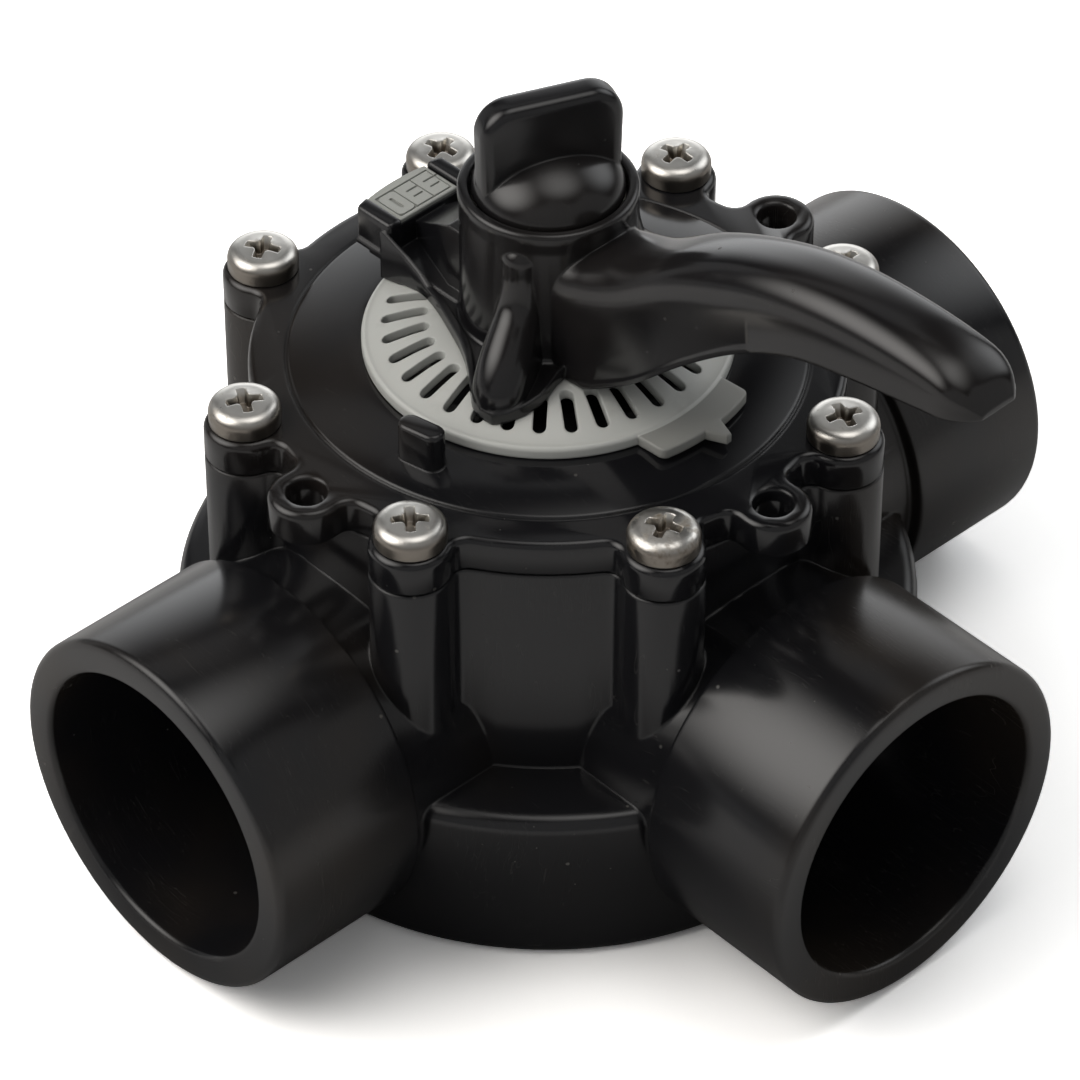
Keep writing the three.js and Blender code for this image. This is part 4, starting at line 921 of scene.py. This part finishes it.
# ------------------------------------------------------------------------------------- stop ring


def ring_height(radius):
    """Height of the ring's domed top."""
    fall = (DOME_FOOT - radius) / DOME_SPAN
    quarter = math.pi / 2 * min(max(fall, 0.0), 1.0)
    return RING_BASE + RING_EDGE + DOME_RISE * math.sin(quarter) ** 1.35


def ring_tab(v):
    """The stop tab with its arrow, drawn along +X."""
    corner = 1.6 * MM
    straight = math.sqrt((v.tab_radius - corner) ** 2 - (v.tab_half - corner) ** 2)
    lean = math.degrees(math.atan2(v.tab_half - corner, straight))
    arrow = math.degrees(math.asin(2.3 * MM / v.tab_radius))
    inner = 32.8 * MM
    outline = [
        (inner, -v.tab_half),
        *arc((straight, corner - v.tab_half), corner, -90, -lean, 5),
        *arc((0, 0), v.tab_radius, -lean, -arrow, 6)[1:],
        (46 * MM, -0.6 * MM), (46 * MM, 0.6 * MM),
        *arc((0, 0), v.tab_radius, arrow, lean, 6)[:-1],
        *arc((straight, v.tab_half - corner), corner, lean, 90, 5),
        (inner, v.tab_half),
    ]
    tab = prism(outline, RING_BASE, RING_BASE + 2.1 * MM)
    return round_edges(tab, flat_edges(tab, RING_BASE + 2.1 * MM), 0.35 * MM, 3)


class VALVE_OT_stop_ring(Operator):
    """Builds the domed ring with its slots and stop tab"""

    bl_idname = "valve.stop_ring"
    bl_label = "Stop ring"

    def execute(self, context):
        v = values("ring_values")
        bore, shoulder, outer = 14.35 * MM, DOME_FOOT, 35.8 * MM
        radii = [20 * MM + (shoulder - 20 * MM) * i / 24 for i in range(25)]
        under = [(r, ring_height(r) - v.thickness) for r in radii if ring_height(r) - v.thickness > RING_BASE]
        disk = lathe([
            (bore, RING_TOP - v.thickness), *under, (shoulder - 1.05 * MM, RING_BASE), (outer, RING_BASE),
            *rounded(outer - 0.9 * MM, RING_BASE + 1.5 * MM, 0.9 * MM, 0, 80, 5),
            *[(r, ring_height(r)) for r in reversed(radii)],
            (bore + 0.3 * MM, RING_TOP), (bore, RING_TOP - 0.3 * MM), (bore, RING_TOP - v.thickness),
        ], 192)
        reach = (v.slot_outer + v.slot_inner) / 2
        half = (v.slot_outer - v.slot_inner) / 2
        slots = []
        for i in range(v.slots):
            slot = prism(obround(half, v.slot_width / 2, 10), RING_BASE - MM, RING_TOP + MM)
            quarter = Matrix.Rotation(math.pi / 2, 3, "Z")
            bmesh.ops.rotate(slot, verts=slot.verts, cent=(0, 0, 0), matrix=quarter)
            slots.append(turned(slot, v.ring_turn + FULL_TURN * (i + 0.5) / v.slots, (reach, 0, 0)))
        ring = moulded("ring", [disk, turned(ring_tab(v), v.ring_turn)], slots)
        smoothed(ring, 28)
        finished(ring, ring_plastic(values("finish_values")), "rotor", "ring_plastic", "stop_ring")
        return {"FINISHED"}


# ------------------------------------------------------------------------------------- handle


def smooth_curve(points):
    """A smooth function through points: height for each reach, by a Catmull-Rom span."""

    def height(reach):
        last = len(points) - 2
        i = max(k for k in range(last + 1) if k == 0 or points[k][0] <= reach)
        (x0, y0), (x1, y1) = points[i], points[i + 1]
        before = points[max(i - 1, 0)]
        after = points[min(i + 2, last + 1)]
        slope_in = (y1 - before[1]) / max(x1 - before[0], 1e-9)
        slope_out = (after[1] - y0) / max(after[0] - x0, 1e-9)
        t = min(max((reach - x0) / (x1 - x0), 0.0), 1.0)
        width = x1 - x0
        return (
            (2 * t**3 - 3 * t**2 + 1) * y0 + (t**3 - 2 * t**2 + t) * width * slope_in
            + (3 * t**2 - 2 * t**3) * y1 + (t**3 - t**2) * width * slope_out
        )

    return height


CREST = smooth_curve([(15.8, 26.5), (27.1, 31), (40.7, 40), (54.2, 46.4), (67.8, 50.4), (84.8, 52.2),
                      (102.8, 51.2), (110.2, 48), (113, 44)])
UNDERSIDE = smooth_curve([(21.5, 0.1), (32.8, 7.7), (46.3, 20), (59.6, 30.2), (72.3, 36.3), (85.3, 39.1),
                          (98.3, 41), (109, 42.4), (115.3, 43.2)])
ARM_REACH = 113.0
TIP_LENGTH = 8.0


def lever_half_width(reach, root, end):
    """Half the lever's width, in millimetres: an even taper, with a blunt round tip."""
    along = min(max((reach - 17.6) / (ARM_REACH - 17.6), 0.0), 1.0)
    width = root + (end - root) * along**0.8
    into_tip = max(0.0, reach - ARM_REACH + TIP_LENGTH) / TIP_LENGTH
    return width * math.sqrt(1 - 0.75 * into_tip**2)


def lofted(outline, stations, shape):
    """An outline drawn out along its length, with every point moved to where shape(across, level,
    station) puts it."""
    bm = prism(outline, 0.0, 1.0)
    lengthwise = [edge for edge in bm.edges if abs(edge.verts[0].co.z - edge.verts[1].co.z) > 0.5]
    bmesh.ops.subdivide_edges(bm, edges=lengthwise, cuts=len(stations) - 2, use_grid_fill=True)
    for vert in bm.verts:
        station = stations[round(vert.co.z * (len(stations) - 1))]
        vert.co = shape(vert.co.x, vert.co.y, station)
    bmesh.ops.recalc_face_normals(bm, faces=bm.faces)
    return bm


LEVER_STEPS = 16
LEVER_BULGE = 0.8


def lever_outline():
    """The lever's section in unit steps: across from -1 to 1, and levels 0 to 4 for its lower edge, the
    top of its lip, the foot of its side, the start of its crown and its crest."""
    crown = []
    for i in range(LEVER_STEPS + 1):
        angle = math.pi / 2 * i / LEVER_STEPS
        crown.append((max(math.cos(angle), 0.0) ** LEVER_BULGE, 3 + math.sin(angle) ** LEVER_BULGE))
    crown[-1] = (0.0, 4.0)
    right = [(1.0, 0.0), (1.0, 1.0), (1.0, 2.0), *crown]
    return right + [(-across, level) for across, level in reversed(right[:-1])]


def lever_shape(v, inset=0.0, start=9.0, drop=0.0):
    """The lever, or with an inset the space inside it. Its lower edge has a narrow lip."""
    root, end = v.lever_root / MM, v.lever_end / MM
    stop = ARM_REACH - inset - 0.05
    reaches = [start + (stop - TIP_LENGTH - start) * i / 56 for i in range(56)]
    reaches += [stop - TIP_LENGTH + TIP_LENGTH * math.sin(math.pi / 2 * i / 12) for i in range(13)]
    base = FOOT_BASE / MM

    def shape(across, level, reach):
        width = lever_half_width(reach, root, end) - inset
        top = base + CREST(reach) - inset
        low = min(base + (UNDERSIDE(reach) if reach > 21.5 else 0.0), top - 0.5) - drop
        tall = top - low
        levels = [
            low, low + min(1.2, 0.3 * tall), low + min(1.9, 0.45 * tall), top - min(10.5, 0.52 * tall), top,
        ]
        i = min(int(level), 3)
        height = levels[i] + (levels[i + 1] - levels[i]) * (level - i)
        lip = 0.0 if inset or level > 1.5 else 0.35 * math.copysign(1, across) * min(1, tall / 4)
        return Vector((reach, across * width + lip, height)) * MM

    return lofted(lever_outline(), reaches, shape)


FINGER_PATH = [
    (14.3, 128.3, 3.8), (14.3, 124.0, 3.9), (15.4, 118.6, 4.1), (17.5, 115.2, 4.4), (20.6, 112.2, 4.8),
    (23.4, 109.3, 5.1), (25.2, 106.3, 5.3), (25.8, 103.8, 5.4), (25.9, 99.0, 5.4),
]
FINGER_DEPTH = 11.0


def finger():
    """A round-backed buttress that swoops from under the hub's lip down onto the stop ring. Its path is
    a list of reach, height and half-width."""
    shares = [i / (len(FINGER_PATH) - 1) for i in range(len(FINGER_PATH))]
    tracks = [
        smooth_curve([(share, point[i]) for share, point in zip(shares, FINGER_PATH)]) for i in range(3)
    ]
    stations = [("cap", i / 8) for i in range(8, 0, -1)] + [("path", i / 44) for i in range(45)]

    def shape(across, level, station):
        kind, share = station
        along = share if kind == "path" else 0.0
        reach, height, half = (track(along) for track in tracks)
        step = 0.01
        ahead = min(along, 1 - step)
        lean = Vector((
            tracks[0](ahead + step) - tracks[0](ahead), 0, tracks[1](ahead + step) - tracks[1](ahead),
        )).normalized()
        out = Vector((-lean.z, 0, lean.x))
        middle = Vector((reach, 0, height))
        if kind == "cap":
            middle -= lean * half * math.sin(share * math.pi / 2)
            half *= math.cos(share * math.pi / 2) + 0.02
        outward = (level - 1) * (half if level >= 1 else FINGER_DEPTH)
        return (middle + out * outward + Vector((0, across * half, 0))) * MM

    back = [(math.cos(math.radians(a)), 1 + math.sin(math.radians(a))) for a in range(0, 181, 9)]
    return lofted([(-1.0, 0.0), (1.0, 0.0), *back], stations, shape)


SKIRT = [
    (-34, 12.0), (-28, 12.0), (-23, 12.6), (-20, 13.3), (-17, 14.3), (-13.5, 15.6), (-10, 17.1), (-6.5, 18.6),
    (-3.5, 20.0), (0, 22.0), (3.3, 24.3), (6.2, 26.6), (8.5, 28.2), (11.2, 29.0), (14, 28.5), (16, 26.4),
    (17.4, 23), (18.0, 19.9), (17.7, 17.2), (16.8, 14.0), (16.2, 10.5), (16.0, 8.0),
]
SKIRT_RIM = 1.5


def skirt():
    """The handle's foot: a floor whose rim runs from the label arm round each finger to the lever."""
    outline = [(x, -y) for x, y in SKIRT] + [(x, y) for x, y in reversed(SKIRT)]
    floor = FOOT_BASE / MM + 1.6
    profile_steps = 4

    def shape(x, y, station):
        reach = math.hypot(x, y)
        rim = ring_height(reach * MM) / MM + 3.0 + 0.6 * max(0.0, -x - 20)
        shrink = {0: 0.0, 1: 0.0, 2: 0.35, 3: SKIRT_RIM, 4: SKIRT_RIM + 0.5}[station] / reach
        height = {0: 99.0, 1: rim - 0.4, 2: rim, 3: rim, 4: min(floor, rim - 0.5)}[station]
        return Vector((x * (1 - shrink), y * (1 - shrink), height)) * MM

    bm = lofted(outline, list(range(profile_steps + 1)), shape)
    top = max(bm.faces, key=lambda face: face.calc_center_median().z * (face.normal.z > 0.5))
    bmesh.ops.poke(bm, faces=[top])
    return bm


def ring_clearance():
    """The space that the ring's dome needs under the handle."""
    radii = [20 * MM + DOME_SPAN * i / 16 for i in range(17)]
    return lathe([
        (0.0, 0.0), (36.15 * MM, 0.0), (36.15 * MM, RING_BASE + RING_EDGE),
        *[(radius, min(ring_height(radius) + 0.35 * MM, FOOT_BASE)) for radius in reversed(radii)],
        (0.0, FOOT_BASE),
    ], 128)


def lug(v, side):
    """A lug under a finger, in the ring's nearest slot."""
    ring = values("ring_values")
    pitch = FULL_TURN / ring.slots
    first = ring.ring_turn + pitch / 2
    index = round((v.handle_turn + side * v.finger_turn - first) / pitch)
    inner = 23.6 * MM
    high = ring_height(inner) + 1.35 * MM
    low = ring_height(inner + 4 * MM) - 1.9 * MM
    shape = rounded_box((inner, -0.95 * MM, low), (inner + 4 * MM, 0.95 * MM, high), 0.3 * MM, 2)
    return turned(shape, first + index * pitch - v.handle_turn)


def label_arm(v):
    """The arm that carries the OFF label: a floor, two cheeks, an outer wall and a leaning gusset."""
    reach, half, floor = LABEL_ARM_REACH, 12 * MM, FOOT_BASE + 2.1 * MM
    cheek_top = FOOT_BASE + 9 * MM
    seat = LABEL_LOW.z - GAP
    inner = 32.5 * MM
    cheek = 3.5 * MM
    solids = [rounded_box((-reach - MM, -half, FOOT_BASE), (0, half, floor), 0.5 * MM, 2)]
    for side in (-1, 1):
        edges = sorted((side * v.block_half, side * (v.block_half + cheek)))
        low = (-reach - MM, edges[0], FOOT_BASE)
        solids.append(rounded_box(low, (-reach + 10.6 * MM, edges[1], cheek_top), 0.8 * MM, 3))
    wall = (-reach + 2.1 * MM, v.block_half + 1 * MM, seat)
    solids.append(box((-reach - MM, -v.block_half - 1 * MM, FOOT_BASE), wall))
    leaning = upright(prism([
        (-reach + 2.1 * MM, FOOT_BASE), (0, FOOT_BASE), (0, FOOT_BASE + 16.4 * MM),
        (-17.6 * MM, FOOT_BASE + 16.4 * MM), (-inner, seat), (-reach + 2.1 * MM, seat),
    ], -half, half))
    plan = prism([
        (-reach, -3.7 * MM), (-inner, -3.7 * MM), (-17.6 * MM, -9.5 * MM), (0, -9.5 * MM),
        (0, 9.5 * MM), (-17.6 * MM, 9.5 * MM), (-inner, 3.7 * MM), (-reach, 3.7 * MM),
    ], FOOT_BASE, HUB_TOP)
    gusset = moulded("gusset", [leaning])
    combined(gusset, [plan], "INTERSECT")
    return solids, gusset


def mesh_of(obj):
    """Takes an object's mesh back as a bmesh, and removes the object."""
    bm = bmesh.new()
    bm.from_mesh(obj.data)
    bpy.data.objects.remove(obj)
    return bm


class VALVE_OT_handle(Operator):
    """Builds the handle: hub, skirt, lever, two fingers, and the arm with the label's seat"""

    bl_idname = "valve.handle"
    bl_label = "Handle"

    def execute(self, context):
        v = values("handle_values")
        lip_base = HUB_TOP - 4.2 * MM
        floor = FOOT_BASE + 1.6 * MM
        hub = lathe([
            (0.0, FOOT_BASE), (v.hub_radius + 1 * MM, FOOT_BASE), (v.hub_radius + 1 * MM, floor - 0.1 * MM),
            *rounded(v.hub_radius + 1 * MM, floor + 1 * MM, 1 * MM, 270, 180, 4),
            (v.hub_radius, lip_base - 0.6 * MM),
            (v.hub_radius + 0.06 * MM, lip_base + 0.7 * MM),
            (v.lip_radius - 0.04 * MM, lip_base + 1.9 * MM),
            *rounded(v.lip_radius - 1.0 * MM, HUB_TOP - 1.0 * MM, 1.0 * MM, 0, 90),
            (0.0, HUB_TOP),
        ], 128)
        arm_solids, gusset = label_arm(v)
        arm = moulded("arm", [*arm_solids, mesh_of(gusset)])
        cover = lathe([(0, 0), (LABEL_ARM_REACH, 0), (LABEL_ARM_REACH, HUB_TOP), (0, HUB_TOP)], 256)
        combined(arm, [cover], "INTERSECT")
        post_path = lathe([
            (39.0 * MM, 0), (90 * MM, 0), (90 * MM, 105.35 * MM), (39.0 * MM, 105.35 * MM), (39.0 * MM, 0),
        ], 128)
        combined(arm, [post_path], "DIFFERENCE")
        fingers = [turned(finger(), side * v.finger_turn) for side in (-1, 1)]
        half = 7 * MM
        hollow = moulded("hollow", [lever_shape(v, inset=3.0, start=12.0, drop=12.0)])
        core = lathe([(0, 0), (20.6 * MM, 0), (20.6 * MM, 0.2), (0, 0.2)], 96)
        combined(hollow, [core], "DIFFERENCE")
        seat = HUB_TOP - 3.8 * MM
        cuts = [
            mesh_of(hollow),
            ring_clearance(),
            box((-half, -half, FOOT_BASE - MM), (half, half, FOOT_BASE + 8.3 * MM)),
            lathe([(0, FOOT_BASE + 8.1 * MM), (11.2 * MM, FOOT_BASE + 8.1 * MM), (11.2 * MM, HUB_TOP + MM),
                   (0, HUB_TOP + MM)], 64),
            lathe([(0, seat), (15.0 * MM, seat), (15.0 * MM, HUB_TOP - 0.5 * MM),
                   (15.5 * MM, HUB_TOP + 0.1 * MM), (15.5 * MM, HUB_TOP + MM), (0, HUB_TOP + MM)], 96),
        ]
        handle = moulded("grip_handle", [hub, skirt(), mesh_of(arm), lever_shape(v), *fingers], cuts)
        combined(handle, [lug(v, -1), lug(v, 1)], "UNION")
        handle.data.transform(Matrix.Rotation(v.handle_turn, 4, "Z"))
        smoothed(handle, 30)
        finished(handle, handle_plastic(values("finish_values")), "rotor", "handle_plastic", "handle")
        return {"FINISHED"}


# ------------------------------------------------------------------------------------- label


def letter_blocks(letter, base, top):
    """Raised blocks of a letter, upright in its own cell, with narrow grooves for its counters."""
    half, tall, corner = 2.05 * MM, 3.35 * MM, 0.9 * MM
    if letter == "O":
        outer = (
            arc((half - corner, tall - corner), corner, 0, 90, 6)
            + arc((corner - half, tall - corner), corner, 90, 180, 6)
            + arc((corner - half, corner - tall), corner, 180, 270, 6)
            + arc((half - corner, corner - tall), corner, 270, 360, 6)
        )
        slot = prism(obround(1.9 * MM, 0.42 * MM, 6), top - 0.35 * MM, top + MM)
        return prism(outer, base, top), [slot]
    outline = [(-half, -tall), (half, -tall), (half, tall), (-half, tall)]
    upper = box((-0.7 * MM, 0.95 * MM, top - 0.35 * MM), (half + MM, 1.4 * MM, top + MM))
    lower = box((-0.7 * MM, -1.1 * MM, top - 0.35 * MM), (half - 0.4 * MM, -0.65 * MM, top + MM))
    return prism(outline, base, top), [upper, lower]


class VALVE_OT_label(Operator):
    """Builds the clipped-in OFF label, its letters raised from a sunk field"""

    bl_idname = "valve.label"
    bl_label = "OFF label"

    def execute(self, context):
        v = values("handle_values")
        top = LABEL_HIGH.z - 0.05 * MM
        base = LABEL_LOW.z
        inner, outer, half = 32.8 * MM, 42.7 * MM, 7.6 * MM
        plate = rounded_box((-outer - MM, -half, base), (-inner, half, top), 0.35 * MM, 3)
        middle = -(inner + outer) / 2 + 0.5 * MM
        reach, across = 3.75 * MM, 6.85 * MM
        field = rounded_box(
            (middle - reach, -across, top - 0.4 * MM), (middle + reach, across, top + MM), 0.15 * MM, 1,
        )
        label = moulded("label", [plate], [field])
        combined(label, [lathe([(0, 0), (outer, 0), (outer, HUB_TOP), (0, HUB_TOP)], 256)], "INTERSECT")
        stand = Matrix.Rotation(math.pi / 2, 4, "Z")
        for i, letter in enumerate("OFF"):
            block, grooves = letter_blocks(letter, base + 0.5 * MM, top)
            shift = Matrix.Translation((middle, (i - 1) * 4.45 * MM, 0)) @ stand
            for shape in (block, *grooves):
                bmesh.ops.transform(shape, matrix=shift, verts=shape.verts)
            combined(label, [block], "UNION")
            combined(label, grooves, "DIFFERENCE")
        label.data.transform(Matrix.Rotation(v.handle_turn, 4, "Z"))
        smoothed(label, 30)
        finished(label, label_plastic(values("finish_values")), "rotor", "label_plastic", "off_label")
        return {"FINISHED"}


# ------------------------------------------------------------------------------------- knob


class VALVE_OT_knob(Operator):
    """Builds the locking knob: domed cap, plate grip and threaded sleeve"""

    bl_idname = "valve.knob"
    bl_label = "Knob"

    def execute(self, context):
        v = values("knob_values")
        rim, rise = KNOB_BASE + 0.6 * MM, 9.2 * MM
        dome = []
        for i in range(1, 29):
            angle = math.pi / 2 * i / 28
            dome.append((v.cap_radius * math.cos(angle), rim + rise * math.sin(angle)))
        dome[-1] = (0.0, rim + rise)
        cap = lathe([
            (0.0, KNOB_BASE), (v.cap_radius - 0.4 * MM, KNOB_BASE), (v.cap_radius, KNOB_BASE + 0.4 * MM),
            (v.cap_radius, rim), *dome,
        ], 128)
        half, corner, top = v.grip_width / 2, 6.5 * MM, KNOB_TOP - EASE
        outline = [
            (-half + 0.4 * MM, KNOB_BASE + 0.5 * MM), (half - 0.4 * MM, KNOB_BASE + 0.5 * MM),
            *arc((half - corner, top - corner), corner, 0, 90, 12),
            *arc((corner - half, top - corner), corner, 90, 180, 12),
        ]
        grip = prism(outline, -v.grip_thickness / 2, v.grip_thickness / 2)
        round_edges(grip, flat_edges(grip, v.grip_thickness / 2), 2.2 * MM, 7)
        round_edges(grip, flat_edges(grip, -v.grip_thickness / 2), 2.2 * MM, 7)
        upright(grip)
        sleeve = lathe([
            (0.0, KNOB_SLEEVE_BASE), (9.6 * MM, KNOB_SLEEVE_BASE), (10.4 * MM, KNOB_SLEEVE_BASE + 0.8 * MM),
            (10.4 * MM, KNOB_BASE + MM), (0.0, KNOB_BASE + MM),
        ], 64)
        bore = lathe([
            (0.0, KNOB_SLEEVE_BASE - MM), (7 * MM, KNOB_SLEEVE_BASE - MM),
            (6.2 * MM, KNOB_SLEEVE_BASE + 0.6 * MM),
            (6.2 * MM, KNOB_BASE + MM), (0.0, KNOB_BASE + MM),
        ], 48)
        knob = moulded("lock_knob", [cap, grip, sleeve], [bore])
        knob.data.transform(Matrix.Rotation(v.knob_turn, 4, "Z"))
        smoothed(knob, 30)
        finished(knob, knob_plastic(values("finish_values")), "knob", "knob_plastic", "knob")
        return {"FINISHED"}


# ------------------------------------------------------------------------------------- inner parts


class VALVE_OT_inner_parts(Operator):
    """Gives the diverter, the seals and the washers their finishes"""

    bl_idname = "valve.inner_parts"
    bl_label = "Inner parts"

    def execute(self, context):
        finish = values("finish_values")
        dark = plain_plastic("rotor_plastic", (0.042, 0.045, 0.05), 0.34)
        pale = plain_plastic("nylon", tuple(finish.nylon), 0.38)
        seal = rubber()
        finishes = {
            "diverter": dark, "thrust_washer": pale, "knob_washer": pale, "lid_o_ring": seal,
            "diverter_seal": seal, "shaft_o_ring_lower": seal, "shaft_o_ring_upper": seal,
        }
        for node, material in finishes.items():
            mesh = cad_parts[node].data
            mesh.materials.clear()
            mesh.materials.append(material)
        return {"FINISHED"}


# ------------------------------------------------------------------------------------- stage


def soft_box(name, azimuth, elevation, distance, size, level, tone):
    """A large soft lamp that faces the valve from a direction in degrees and fades out to its edge."""
    pane = bmesh.new()
    pane.loops.layers.uv.new("UVMap")
    bmesh.ops.create_grid(pane, x_segments=1, y_segments=1, size=size / 2, calc_uvs=True)
    obj = linked(name, pane)
    shader = Shader(name)
    across, up, _ = shader.parts(shader.node("ShaderNodeTexCoord", output="UV"))
    offset = ((across - 0.5) ** 2 + (up - 0.5) ** 2) ** 0.5
    glow = 1.0 - shader.step(offset, 0.05, 0.5)
    shader.set(
        Base_Color=(0, 0, 0), Specular_IOR_Level=0.0, Roughness=1.0,
        Emission_Color=shader.mix(glow, (0, 0, 0), tone), Emission_Strength=level,
    )
    obj.data.materials.append(shader.material)
    target = Vector((0, 0, 0.06))
    reach = distance * math.cos(math.radians(elevation))
    position = target + place(reach, azimuth, distance * math.sin(math.radians(elevation)))
    aim = (target - position).to_track_quat("Z", "Y").to_matrix().to_4x4()
    obj.data.transform(Matrix.Translation(position) @ aim)
    obj.visible_camera = False


LAMPS = (
    ("key", 148, 44, 1.2, 1.9, 3.6, (1.0, 0.97, 0.935)),
    ("top", -50, 80, 1.3, 1.4, 2.0, (1.0, 0.98, 0.955)),
    ("backdrop", 47, 6, 1.3, 2.2, 1.7, (0.98, 0.99, 1.0)),
    ("side", -8, 34, 1.3, 1.5, 1.9, (0.97, 0.985, 1.0)),
)
WORLD_LEVEL = 0.3
CAMERA_TURN, CAMERA_TILT = -42.84, 41.01
CAMERA_REACH = 1.16648
CAMERA_LEFT, CAMERA_RISE = 1.58 * MM, 6.75 * MM
CAMERA_LENS = 196.26


class VALVE_OT_stage(Operator):
    """Builds the floor, the soft lights, the world and the camera"""

    bl_idname = "valve.stage"
    bl_label = "Stage"

    def execute(self, context):
        floor_shape = bmesh.new()
        bmesh.ops.create_grid(floor_shape, x_segments=2, y_segments=2, size=3.0)
        floor = linked("floor", floor_shape)
        shader = Shader("floor_paper")
        grain = shader.noise(30, detail=2.0)
        seen = shader.node("ShaderNodeLightPath", output="Is Camera Ray")
        # Painted shadow: for all but camera rays the floor is painted dark near the valve, lightening between
        # 85 and 170 mm from its axis.
        outside_painted_shadow = shader.step(shader.radius(), 0.085, 0.17)
        painted_shadow_floor = shader.mix(outside_painted_shadow, (0.24, 0.24, 0.24), (0.74, 0.74, 0.74))
        bright = shader.mix(grain * 0.1, (2.4, 2.4, 2.4), (2.3, 2.3, 2.3))
        shader.set(Base_Color=shader.mix(seen, painted_shadow_floor, bright), Roughness=0.8, Specular_IOR_Level=0.2)
        floor.data.materials.append(shader.material)
        floor.data.transform(Matrix.Translation((0, 0, -0.0002)))

        world = bpy.data.worlds.new("studio")
        context.scene.world = world
        world.use_nodes = True
        nodes, links = world.node_tree.nodes, world.node_tree.links
        background = nodes["Background"]
        background.inputs["Color"].default_value = (1, 1, 1, 1)
        rays = nodes.new("ShaderNodeLightPath")
        level = nodes.new("ShaderNodeMapRange")
        level.inputs["To Min"].default_value = WORLD_LEVEL
        level.inputs["To Max"].default_value = 1.0
        links.new(rays.outputs["Is Camera Ray"], level.inputs["Value"])
        links.new(level.outputs["Result"], background.inputs["Strength"])

        for lamp in LAMPS:
            soft_box(*lamp)

        azimuth, elevation = math.radians(CAMERA_TURN), math.radians(CAMERA_TILT)
        back = Vector((
            math.sin(azimuth) * math.cos(elevation), -math.cos(azimuth) * math.cos(elevation),
            math.sin(elevation),
        ))
        right = Vector((math.cos(azimuth), math.sin(azimuth), 0))
        up = back.cross(right)
        camera = bpy.data.cameras.new("camera")
        camera.lens = CAMERA_LENS
        camera.sensor_width = 36
        camera.clip_start = 0.05
        obj = bpy.data.objects.new("camera", camera)
        look = Vector((0, 0, values("valve_body_values").port_height))
        position = look + back * CAMERA_REACH - right * CAMERA_LEFT + up * CAMERA_RISE
        axes = Matrix((right, up, back)).transposed().to_4x4()
        obj.matrix_world = Matrix.Translation(position) @ axes
        context.scene.collection.objects.link(obj)
        context.scene.camera = obj
        context.scene.view_settings.view_transform = "Standard"
        return {"FINISHED"}


# ------------------------------------------------------------------------------------- add-on


OPERATORS = (
    VALVE_OT_stage, VALVE_OT_body, VALVE_OT_lid, VALVE_OT_screws, VALVE_OT_stop_ring, VALVE_OT_handle,
    VALVE_OT_label, VALVE_OT_knob, VALVE_OT_inner_parts,
)
GROUPS = {
    "valve_body_values": ValveBodyValues,
    "lid_values": LidValues,
    "ring_values": RingValues,
    "handle_values": HandleValues,
    "knob_values": KnobValues,
    "finish_values": FinishValues,
}


class VALVE_PT_pieces(Panel):
    """Lists the valve's sizes and the operators that build it"""

    bl_label = "Three-way valve"
    bl_space_type = "VIEW_3D"
    bl_region_type = "UI"
    bl_category = "Valve"

    def draw(self, context):
        layout = self.layout
        for name in GROUPS:
            group = getattr(context.scene, name)
            column = layout.column()
            for value in group.bl_rna.properties:
                if value.identifier not in ("rna_type", "name"):
                    column.prop(group, value.identifier)
        for operator in OPERATORS:
            layout.operator(operator.bl_idname)


def register():
    for group in GROUPS.values():
        bpy.utils.register_class(group)
    for operator in OPERATORS:
        bpy.utils.register_class(operator)
    bpy.utils.register_class(VALVE_PT_pieces)
    for name, group in GROUPS.items():
        setattr(bpy.types.Scene, name, PointerProperty(type=group))


def unregister():
    for name in GROUPS:
        delattr(bpy.types.Scene, name)
    for item in (VALVE_PT_pieces, *OPERATORS, *GROUPS.values()):
        bpy.utils.unregister_class(item)


def main():
    register()
    for operator in OPERATORS:
        group, name = operator.bl_idname.split(".")
        getattr(getattr(bpy.ops, group), name)()


if __name__ == "__main__":
    main()
